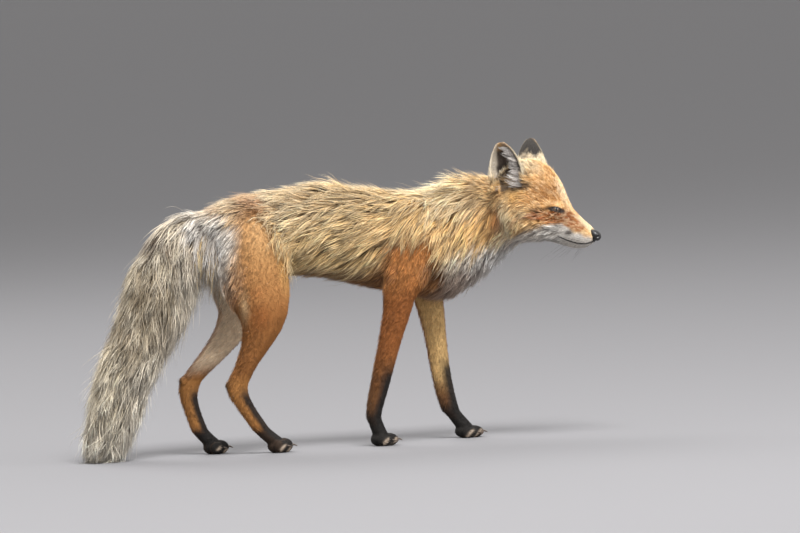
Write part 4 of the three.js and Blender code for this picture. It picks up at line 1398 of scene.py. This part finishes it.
def lockMesh(name, made, facts, chosen, material, paint=None):
    steps = made["steps"]
    rows = made["rows"][chosen]
    paths = made["paths"][:, chosen].copy()
    facings = made["facings"][:, chosen]
    paths[:, :, 2] = np.maximum(paths[:, :, 2], lockShape["lowest"] * mm)
    along = unit(np.gradient(paths, axis=0))
    aside = unit(np.cross(along, facings))
    above = np.cross(aside, along)
    count = len(rows)
    t = np.linspace(0, 1, steps + 1)
    profile = np.interp(t[:-1], np.linspace(0, 1, 5)[:-1], lockShape["profile"])
    half = facts["width"][rows][None, :] * profile[:, None] * mm / 2
    ridge = half * 2 * lockShape["ridge"] * (1 if steps > 2 else lockShape["shortRidge"])
    outwards = aside[:-1] * half[..., None]
    body = paths[:-1]
    rings = np.stack([body - outwards, body + above[:-1] * ridge[..., None], body + outwards], axis=2)
    rings = rings.transpose(1, 0, 2, 3).reshape(count, -1, 3)
    points = np.concatenate([rings, paths[-1][:, None]], axis=1)
    each = points.shape[1]
    quads = []
    for k in range(steps - 1):
        for j in range(3):
            a = k * 3 + j
            b = k * 3 + (j + 1) % 3
            quads.append([a, b, b + 3, a + 3])
    last = (steps - 1) * 3
    ends = [[last + j, last + (j + 1) % 3, each - 1] for j in range(3)] + [[2, 1, 0]]
    first = (np.arange(count) * each)[:, None, None]
    quads = (np.array(quads)[None] + first).reshape(-1, 4)
    ends = (np.array(ends)[None] + first).reshape(-1, 3)
    level = np.concatenate([np.repeat(t[:-1], 3), [1]])
    vertex = facts["vertex"][rows]
    tones = lockTones
    tone = np.clip(facts["tone"][rows], *tones["limits"])[:, None, None]
    middleColour, rootColour, tipColour = paint or (coatMiddle[vertex], coatRoot[vertex], coatTip[vertex])
    colour = middleColour[:, None] * np.ones((1, each, 1))
    # Towards its root a lock turns to the root colour: darker underfur, and painted shade low in the coat.
    # Towards its tip it turns to the tip colour.
    dark = (np.clip(1 - level / tones["rootUpTo"], 0, 1) ** tones["rootCurve"])[None, :, None]
    light = np.clip((level - tones["tipFrom"]) / (1 - tones["tipFrom"]), 0, 1) ** tones["tipCurve"]
    light = light[None, :, None] * tones["tipShare"]
    colour = colour + (rootColour[:, None] - colour) * dark
    colour = colour + (tipColour[:, None] - colour) * light
    colour = colour * tone
    thing = newObject(name, points.reshape(-1, 3), [quads, ends], material)
    giveColours(thing, colour.reshape(-1, 3))
    middle = atlasPlaces(facts["root"][rows], skinPart[vertex])[:, 0]
    across = np.concatenate([np.tile([-0.5, 0, 0.5], steps), [0]])
    places = middle[:, None] + np.stack([across, level - 0.5], 1)[None] * coatPlan["uvPatch"]
    places = np.clip(places, 0, 1).reshape(-1, 2)
    giveUnwrap(thing, places[np.concatenate([quads.ravel(), ends.ravel()])])
    return thing


# hair with a waxy outer layer: soft highlights along each lock
coatMaterial = paintedMaterial("fox hair", coatLook, "coatColour")
# short hair standing close, like velvet: hardly any highlight, so dark hair stays black
shortCoatMaterial = paintedMaterial("short fox hair", shortCoatLook, "coatColour")
coatParts = {
    "body": (["back", "flank", "belly", "rump", "neck", "chest"], "coat_straw"),
    "brush": (["tail"], "coat_brush"),
    "face": (["muzzle", "forehead", "cheek", "jaw", "crown"], "coat_rust"),
    "haunch": (["thigh", "shoulder"], "coat_rust"),
    "shank": (["legTop", "legLow"], "coat_shank"),
    "stocking": (["paw"], "coat_stocking"),
    "ears": (["earBack", "earFront"], "ear_hide"),
}
madeLocks, lockFacts = makeLocks()
report("locks are traced")
mainZone = skinZones.argmax(1)
coatTriangles = 0
for partName, (zoneList, slot) in coatParts.items():
    inPart = np.isin(mainZone, [zoneNames.index(z) for z in zoneList])
    for kind, made in madeLocks.items():
        mine = np.nonzero(inPart[lockFacts["vertex"][made["rows"]]])[0]
        each = lockTriangles(made["steps"])
        pieces = max(1, math.ceil(len(mine) * each / coatPlan["pieceLimit"]))
        for p in range(pieces):
            chosen = mine[p::pieces]
            if len(chosen) == 0:
                continue
            material = coatMaterial if kind == "long" else shortCoatMaterial
            piece = lockMesh(f"coat_{partName}_{kind}_{p + 1}", made, lockFacts, chosen, material)
            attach(piece, "root")
            coatTriangles += len(chosen) * each
            report(f"{piece.name}: {len(chosen)} locks, {len(chosen) * each} triangles")


earHair = {"count": 620, "length": (12, 33), "width": 0.4, "widths": (0.6, 1.4), "heights": (-0.12, 0.86),
           "steps": 4, "bunches": 44, "gather": 0.78, "gatherCurve": 1.3, "backShare": 0.03,
           "backLength": 0.42, "crowding": 1.4, "frontRim": (-0.97, 0.62), "backRim": (0.95, -0.25),
           "above": 0.2, "topLength": 0.5, "rise": (0.05, 0.5, 0.14), "outward": (0.12, 0.57),
           "sagIn": (0.22, 0.12), "sagUp": (0.16, 0.12)}


def earLining(hand):
    # long pale hair that sweeps from the front rim back across the opening, and some from the back rim
    plan = earHair
    toWorld = np.stack([headAhead, headLeft * sides[hand], [0, 0, 1.0]])
    lean, facing, sideways = (v @ toWorld for v in earAxes(hand))
    count = plan["count"]
    bunches = plan["bunches"]
    t = np.linspace(0, 1, plan["steps"] + 1)[:, None, None]

    def hairs(fromBack, height, spread):
        many = len(height)
        tall = np.clip(height, 0, 1)
        rim, across = (np.where(fromBack, *pair) for pair in zip(plan["backRim"], plan["frontRim"]))
        inset = earShape["thickness"] + plan["above"]
        root = np.array([earPoint(hand, h, u, inset) for h, u in zip(tall, rim + across * spread)])
        length = between(*plan["length"], many) * (1 - plan["topLength"] * tall)
        length = (length * np.where(fromBack, plan["backLength"], 1) * mm)[:, None]
        low, more, scatter = plan["rise"]
        rise = low + more * tall + dice.normal(0, scatter, many)
        heading = unit(np.where(fromBack, -1, 1)[:, None] * sideways + lean * rise[:, None]
                       + facing * between(*plan["outward"], many)[:, None])
        inward = dice.normal(*plan["sagIn"], many)[:, None]
        sag = lean * dice.normal(*plan["sagUp"], many)[:, None] - facing * inward
        return root, root[None] + heading[None] * length * t + sag[None] * length * t ** 2

    fromBack = dice.random(count) < plan["backShare"]
    height = between(*plan["heights"], count)
    root, paths = hairs(fromBack, height, dice.random(count) ** plan["crowding"])
    bunchHeight = between(*plan["heights"], bunches)
    bunchPaths = hairs(np.zeros(bunches, bool), bunchHeight, dice.random(bunches))[1]
    wander = 0.02 * dice.normal(0, 1, (count, 1))
    nearest = np.abs(height[:, None] - bunchHeight[None] + wander).argmin(1)
    pull = plan["gather"] * np.where(fromBack, 0, 1)[None, :, None] * t ** plan["gatherCurve"]
    paths = paths + (bunchPaths[:, nearest] - paths) * pull
    made = {"rows": np.arange(count), "steps": plan["steps"], "paths": paths,
            "facings": np.broadcast_to(facing, paths.shape).copy()}
    width = plan["width"] * between(*plan["widths"], count)
    tone = 1 + 0.16 * dice.normal(0, 1, count) + 0.32 * dice.normal(0, 1, bunches)[nearest]
    facts = {"vertex": nearestVertex(root), "root": root, "width": width, "tone": tone}
    # heights drawn below the foot of the ear grow nothing, and no hair joins a bunch there
    rooted = np.nonzero((height >= 0) & (bunchHeight[nearest] >= 0))[0]
    paint = tuple(np.tile(linear(c), (len(rooted), 1)) for c in ("#A7A09A", "#4A4038", "#ECE8E4"))
    return made, facts, rooted, paint


fallingHair = {"perArea": 44, "middle": (-193, 0, 324), "radii": (23, 42, 26), "length": (40, 92),
               "width": 0.62, "widths": (0.6, 1.3), "steps": 5, "bunches": 210, "gather": 0.6, "sway": 0.24,
               "fall": 0.52,
               "reaches": (0.55, 1.1), "spread": 0.3, "ownColour": 0.35, "bunchShares": [0.56, 0.18, 0.26],
               "ownShares": [0.5, 0.25, 0.25]}
fallingColours = [("#E2DBD2", "#9A9087", "#FAF7F2"), ("#D9BE8C", "#8E7048", "#F4DFB4"),
                  ("#8A7C6C", "#4C4238", "#C6B8A4")]


def hangingHair():
    # hair that falls free from the base of the tail and the back of the thighs
    plan = fallingHair
    bunches = plan["bunches"]
    where = blob(skinBody, plan["middle"], plan["radii"], 0.4) * (1 - skinWeights[:, 2])
    root, vertex = scatterRoots(plan["perArea"] * where)
    count = len(root)
    t = np.linspace(0, 1, plan["steps"] + 1)[:, None, None]

    def fall(spots, vertices):
        many = len(spots)
        length = between(*plan["length"], many)[None, :, None] * mm
        start = unit(skinFlow[vertices] * 0.5 + skinNormals[vertices] * 0.4 + [0, 0, -0.6])
        down = dice.normal(0, plan["sway"], (many, 3)) * [1, 0.6, 0] + [0.04, 0, -1]
        return spots[None] + length * (start[None] * (t - t ** 2 / 2) + down[None] * plan["fall"] * t ** 2)

    paths = fall(root, vertex)
    chosen = dice.choice(count, bunches, replace=False)
    bunchPaths = fall(root[chosen], vertex[chosen])
    nearest = np.linalg.norm(root[:, None] - root[chosen][None], axis=2).argmin(1)
    goal = bunchPaths[:, nearest] + (root - root[chosen][nearest])[None] * plan["spread"]
    reach = np.clip(between(*plan["reaches"], count), 0, 1)[None, :, None]
    paths = paths + (goal - paths) * plan["gather"] * t
    paths = paths[:1] + (paths - paths[:1]) * reach
    kind = dice.choice(3, bunches, p=plan["bunchShares"])[nearest]
    other = dice.choice(3, count, p=plan["ownShares"])
    kind = np.where(dice.random(count) < plan["ownColour"], other, kind)
    table = np.array([[linear(c) for c in row] for row in fallingColours])
    facings = unit(skinNormals[vertex] * [0.3, 1, 0] + [0, 1e-3, 0])
    made = {"rows": np.arange(count), "steps": plan["steps"], "paths": paths,
            "facings": np.broadcast_to(facings, paths.shape).copy()}
    width = plan["width"] * between(*plan["widths"], count)
    tone = 1 + 0.15 * dice.normal(0, 1, count) + 0.12 * dice.normal(0, 1, bunches)[nearest]
    facts = {"vertex": vertex, "root": root, "width": width, "tone": tone}
    return made, facts, tuple(table[kind, k] for k in range(3))


made, facts, paint = hangingHair()
piece = lockMesh("coat_body_hanging", made, facts, np.arange(len(facts["root"])), coatMaterial, paint)
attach(piece, "root")
coatTriangles += len(facts["root"]) * lockTriangles(made["steps"])
report(f"hanging hair: {len(facts['root'])} locks")
for hand in sides:
    made, facts, rooted, paint = earLining(hand)
    piece = lockMesh("coat_lining_" + hand, made, facts, rooted, coatMaterial, paint)
    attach(piece, "root")
    coatTriangles += len(rooted) * lockTriangles(made["steps"])
    report(f"{piece.name}: {len(rooted)} locks")
report(f"coat has {coatTriangles} triangles")


def glossyMaterial(name, values, grain=0, depth=0.2, attribute=None):
    # grain is the size of one pebble of the surface and depth its height, both in millimetres
    material, tree = newMaterial(name)
    links = {}
    if attribute:
        paint = addNode(tree, "ShaderNodeAttribute", {"attribute_name": attribute})
        links["Base Color"] = paint.outputs["Color"]
    if grain:
        place = addNode(tree, "ShaderNodeNewGeometry")
        cells = addNode(tree, "ShaderNodeTexVoronoi", values={"Scale": 1 / (grain * mm)},
                        links={"Vector": place.outputs["Position"]})
        bump = addNode(tree, "ShaderNodeBump", values={"Strength": 0.6, "Distance": depth * mm},
                       links={"Height": cells.outputs["Distance"]})
        links["Normal"] = bump.outputs[0]
    shader = addNode(tree, "ShaderNodeBsdfPrincipled", values=values, links=links)
    addNode(tree, "ShaderNodeOutputMaterial", links={"Surface": shader.outputs[0]})
    return material


def tubeMesh(name, paths, radii, around, material):
    # closed tubes along some paths; each path is an array of places, each radius one of the same length
    points = []
    faces = []
    count = 0
    for path, radius in zip(paths, radii):
        path = np.asarray(path, float)
        along = unit(np.gradient(path, axis=0))
        guide = np.array([0.13, 0.21, 1.0]) if abs(along[0][2]) < 0.9 else np.array([1.0, 0.2, 0.1])
        aside = unit(np.cross(along, guide))
        above = np.cross(aside, along)
        turn = np.linspace(0, 2 * math.pi, around, endpoint=False)
        ring = aside[:, None] * np.cos(turn)[None, :, None] + above[:, None] * np.sin(turn)[None, :, None]
        rings = path[:, None] + ring * np.asarray(radius)[:, None, None]
        found, triangles = loft(rings)
        points.append(found)
        faces.append(triangles + count)
        count += len(found)
    return newObject(name, np.concatenate(points), np.concatenate(faces), material)


eyeGrid = {"front": 52, "back": 20, "around": 96, "frontEnd": 0.9, "backStart": 0.95, "corneaReach": 0.5}
irisColour = "#4A3826"
irisMarks = [  # what is measured, from, to, strength, colour
    ("rays", 0.35, 0.75, 0.6, "#2E2318"), ("angle", 0.5, 0.25, 0.4, "#5E4A30"),
    ("angle", 0.5, 0.63, 1, "#21150C"), ("angle", 0.66, 0.8, 1, "#2A2019"),
    ("slit", 1.12, 0.9, 1, "#050404"),
]


def eyeBall(hand):
    look, front, up = eyeAxes(hand)
    e = eyeShape
    grid = eyeGrid
    polar = np.concatenate([np.linspace(0, grid["frontEnd"], grid["front"]),
                            np.linspace(grid["backStart"], math.pi, grid["back"])])
    turn = np.linspace(0, 2 * math.pi, grid["around"], endpoint=False)
    a, b = np.meshgrid(polar[1:-1], turn, indexing="ij")
    # the clear front of the eye stands a little proud of the ball
    radius = e["radius"] + e["cornea"] * np.exp(-(a / grid["corneaReach"]) ** 2)
    local = np.stack([np.sin(a) * np.cos(b), np.sin(a) * np.sin(b), np.cos(a)], -1) * radius[..., None] * mm
    rings = eyeCentres[hand] + local[..., :1] * front + local[..., 1:2] * up + local[..., 2:] * look
    points, triangles = loft(rings)
    thing = newObject("eyeball_" + hand, points, triangles[:, ::-1], eyeMaterial)
    x, y, ahead = eyeLocal(points, hand)
    slant = math.radians(e["slant"])
    level = up * math.cos(slant) - front * math.sin(slant)
    out = (points - eyeCentres[hand]) / mm
    tall = out @ level
    wide = out @ np.cross(level, look)
    angle = np.arccos(np.clip(ahead / np.linalg.norm(out, axis=1), -1, 1))
    slit = np.sqrt((wide / e["radius"] / e["pupil"][0]) ** 2 + (tall / e["radius"] / e["pupil"][1]) ** 2)
    rays = noise(np.stack([np.arctan2(tall, wide) * 4, angle * 3, angle * 0], 1), 0.5, 5)
    measured = {"rays": rays, "angle": angle, "slit": slit}
    colour = np.zeros((len(points), 3)) + linear(irisColour)
    for measure, start, end, strength, shade in irisMarks:
        lay(colour, step(start, end, measured[measure]) * strength, shade)
    giveColours(thing, colour, "eyeColour")
    return thing


lidShape = {"along": 72, "around": 12, "deepest": 0.3, "upperRim": 0.25, "flat": 0.8}


def lidRim(hand):
    look, front, up = eyeAxes(hand)
    e = eyeShape
    lid = lidShape
    turn = np.linspace(0, 2 * math.pi, lid["along"], endpoint=False)
    x = np.cos(turn) * e["half"]
    x = x + e["corner"] * step(0, e["half"], x)
    y = np.sin(turn) * np.where(np.sin(turn) > 0, e["upper"], e["lower"])
    depth = np.sqrt(np.maximum(e["radius"] ** 2 - x ** 2 - y ** 2, (lid["deepest"] * e["radius"]) ** 2))
    path = front * x[:, None] + up * y[:, None] + look * depth[:, None]
    path = eyeCentres[hand] + unit(path) * (e["radius"] + e["rimLift"]) * mm
    following = unit(np.roll(path, -1, 0) - np.roll(path, 1, 0))
    out = unit(path - eyeCentres[hand])
    aside = np.cross(following, out)
    radius = (e["rim"] + lid["upperRim"] * step(0, 2, y)) * mm
    ring = np.linspace(0, 2 * math.pi, lid["around"], endpoint=False)
    rings = out[:, None] * np.cos(ring)[None, :, None] * lid["flat"]
    rings = rings + aside[:, None] * np.sin(ring)[None, :, None]
    rings = path[:, None] + rings * radius[:, None, None]
    corners = np.arange(rings.shape[0] * rings.shape[1]).reshape(rings.shape[:2])
    following = np.roll(corners, -1, 0)
    quads = np.stack([corners, following, np.roll(following, -1, 1), np.roll(corners, -1, 1)], -1)
    return rings.reshape(-1, 3), quads.reshape(-1, 4)


# wet cornea over a dark brown iris: a hard clear gloss
eyeLook = {"Roughness": 0.12, "IOR": 1.38, "Coat Weight": 1.0, "Coat Roughness": 0.03}
eyeMaterial = glossyMaterial("living eye, wet", eyeLook, attribute="eyeColour")
# bare black skin of lids and lips, kept moist: a low broad shine
lipLook = {"Base Color": linear("#1A1614") + [1], "Roughness": 0.38, "IOR": 1.42}
lipMaterial = glossyMaterial("bare black lip skin", lipLook, 0.7143, 0.12)
# nose leather: black, pebbled and damp
noseLook = {"Base Color": linear("#141212") + [1], "Roughness": 0.42, "IOR": 1.42, "Coat Weight": 0.35,
            "Coat Roughness": 0.2}
noseMaterial = glossyMaterial("nose leather, damp", noseLook, 0.9091, 0.3)
# claw horn: dark, dense and slightly worn
clawLook = {"Base Color": linear("#4A3C31") + [1], "Roughness": 0.42, "IOR": 1.54}
clawMaterial = glossyMaterial("claw horn", clawLook, 1.6667, 0.1)
# a whisker is a single stiff bristle with a smooth surface
whiskerLook = {"Base Color": linear("#3B342E") + [1], "Roughness": 0.4, "IOR": 1.55}
whiskerMaterial = glossyMaterial("whisker bristle", whiskerLook)

for hand in sides:
    ball = eyeBall(hand)
    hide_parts("eye_" + hand)
    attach(ball, "root")

lidPoints = []
lidQuads = []
for hand in sides:
    found, quads = lidRim(hand)
    if hand == "left":
        quads = quads[:, ::-1]
    lidQuads.append(quads + sum(len(earlier) for earlier in lidPoints))
    lidPoints.append(found)
lids = newObject("lid_rims", np.concatenate(lidPoints), np.concatenate(lidQuads), lipMaterial)
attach(lids, "root")

noseShape = {
    "rows": [  # along the head, top, bottom, height of the widest place, half width
        (159, 316.6, 305.6, 312, 5.0), (161, 317.6, 304.0, 312, 6.8), (163.5, 318, 302.0, 311, 7.9),
        (166.5, 317.4, 300.8, 310, 8.5), (169.5, 316.2, 300.2, 309.4, 8.4), (172, 314.2, 301.0, 308.8, 7.2),
        (173.8, 312.2, 302.8, 308.2, 5.4), (174.7, 310.2, 304.8, 307.8, 3.0),
    ],
    "levels": 40, "crowding": 0.8, "around": 64, "squareness": 0.85, "nostril": (171.2, 4.9, 307.4),
    "nostrilReach": (3.4, 2.0, 2.3), "nostrilDepth": 3.0, "nostrilHeading": (1.0, 0.45, 0.05),
    "groove": 0.9, "grooveHalf": 0.8, "grooveAlong": (166, 171), "grooveUp": (311, 308),
}


def noseMesh():
    n = noseShape
    rows = np.array(n["rows"])
    levels = np.linspace(0, 1, n["levels"]) ** n["crowding"]
    places = np.stack([np.interp(levels, np.linspace(0, 1, len(rows)), row) for row in rows.T], 1)
    for _ in range(2):
        places[1:-1] = (places[:-2] + 2 * places[1:-1] + places[2:]) / 4
    turn = np.linspace(0, 2 * math.pi, n["around"], endpoint=False)
    rings = []
    for along, top, bottom, widest, half in places:
        out = half * np.sign(np.cos(turn)) * np.abs(np.cos(turn)) ** n["squareness"]
        tall = np.where(np.sin(turn) > 0, top - widest, widest - bottom)
        rings.append(np.stack([np.full(len(turn), along), out, widest + tall * np.sin(turn)], 1))
    rings = np.array(rings)
    flat = rings.reshape(-1, 3)
    for side in (-1, 1):
        gap = (flat - np.array(n["nostril"]) * [1, side, 1]) / n["nostrilReach"]
        away = np.sqrt((gap ** 2).sum(1) + 0.5 * gap[:, 1] * side * gap[:, 2])
        push = n["nostrilDepth"] * np.exp(-(away ** 4))
        flat -= push[:, None] * unit(np.array(n["nostrilHeading"]) * [1, side, 1])
    inGroove = step(*n["grooveAlong"], flat[:, 0]) * step(*n["grooveUp"], flat[:, 2])
    flat[:, 0] -= n["groove"] * inGroove * np.exp(-((flat[:, 1] / n["grooveHalf"]) ** 2))
    return loft(np.array([onHead(*row) for row in flat]).reshape(rings.shape))


nosePoints, noseTriangles = noseMesh()
if not signedVolumeIsPositive(nosePoints - nosePoints.mean(0), noseTriangles):
    noseTriangles = noseTriangles[:, ::-1]
nose = newObject("nose_leather", nosePoints, noseTriangles, noseMaterial)
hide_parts("nose")
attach(nose, "root")


def smoothPath(rows, count):
    rows = np.array(rows, float)
    runs = np.concatenate([[0], np.cumsum(np.linalg.norm(np.diff(rows, axis=0), axis=1))])
    wanted = np.linspace(0, runs[-1], count)
    path = np.stack([np.interp(wanted, runs, rows[:, k]) for k in range(rows.shape[1])], 1)
    for _ in range(3):
        path[1:-1] = (path[:-2] + 2 * path[1:-1] + path[2:]) / 4
    return path


lipShape = {"count": 40, "sunk": 0.15, "rounds": 4, "radius": (0.6, 0.85), "swelling": (0.8, 3.0),
            "around": 10}
lipCount = lipShape["count"]
neighbours = np.stack([np.arange(lipCount - 1), np.arange(1, lipCount)], 1)
thinnest, swelling = lipShape["radius"]
lipRadius = (thinnest + swelling * np.sin(np.linspace(*lipShape["swelling"], lipCount))) * mm
lipPaths = []
for hand in sides:
    path = smoothPath([headPoint(row, hand) for row in mouthLine], lipCount)
    vertex = nearestVertex(path)
    normal = relax(skinNormals[vertex], neighbours, lipShape["rounds"], 0.5)
    above = ((path - skinPoints[vertex]) * normal).sum(1, keepdims=True)
    lipPaths.append(path - normal * above - normal * lipShape["sunk"] * mm)
lips = tubeMesh("lips", lipPaths, [lipRadius] * 2, lipShape["around"], lipMaterial)
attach(lips, "root")

whiskerPlan = {
    "rows": [(151, 11.5, 304), (147, 12.5, 307.5), (143, 13.5, 304), (139, 14.5, 308), (135, 15.5, 304.5),
             (145, 13, 301), (138, 15, 301), (131, 17, 308)],
    "length": 40, "lengths": (0.7, 1.2), "radius": 0.16, "out": 0.75, "back": (0.6, 0.9),
    "down": (-0.5, -1.0), "bend": (0.28, -0.16), "steps": 10, "around": 5,
}
whiskerPaths = []
whiskerRadii = []
bendBack, bendDown = whiskerPlan["bend"]
for hand in sides:
    for row in whiskerPlan["rows"]:
        root = skinPoints[nearestVertex(headPoint(row, hand)[None])[0]]
        length = whiskerPlan["length"] * between(*whiskerPlan["lengths"]) * mm
        back = between(*whiskerPlan["back"])
        down = between(*whiskerPlan["down"])
        heading = headLeft * sides[hand] * whiskerPlan["out"] - headAhead * back
        heading = unit(heading + np.array([0, 0, down]))
        t = np.linspace(0, 1, whiskerPlan["steps"])[:, None]
        bend = -headAhead * bendBack + np.array([0, 0, bendDown])
        whiskerPaths.append(root + heading * length * t + bend * length * t ** 2)
        whiskerRadii.append(whiskerPlan["radius"] * (1 - 0.8 * t[:, 0]) * mm)
whiskers = tubeMesh("whiskers", whiskerPaths, whiskerRadii, whiskerPlan["around"], whiskerMaterial)
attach(whiskers, "root")

clawShape = {  # rows are along, up, radius
    "rows": [(0, 0, 1.9), (0.3, 0.2, 1.8), (0.6, -0.6, 1.4), (0.85, -1.9, 0.9), (1, -3.0, 0.3)],
    "length": 9, "start": 4, "below": 0.5, "splay": 0.8, "lowest": 1.2, "thickness": 0.8, "steps": 12,
    "around": 10,
}
clawRow = smoothPath(clawShape["rows"], clawShape["steps"])
clawPaths = []
for pawName, paw in paws.items():
    track = pawShape["track"] * sides[pawName.split("_")[1]]
    share = paw["length"] / pawShape["fullLength"]
    for ahead, out, reach, lower in pawShape["toes"]:
        for turned in (-1, 1):
            x = paw["heel"] + (ahead + reach - clawShape["start"]) * share
            y = track + turned * out
            z = paw["knuckle"] - lower - clawShape["below"]
            clawPaths.append([place(x + t * clawShape["length"], y + turned * clawShape["splay"] * t,
                                    max(z + drop, clawShape["lowest"])) for t, drop in clawRow[:, :2]])
clawRadius = clawRow[:, 2] * clawShape["thickness"] * mm
claws = tubeMesh("claws", clawPaths, [clawRadius] * len(clawPaths), clawShape["around"], clawMaterial)
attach(claws, "root")
report("eyes, lids, nose, lips, whiskers and claws are made")
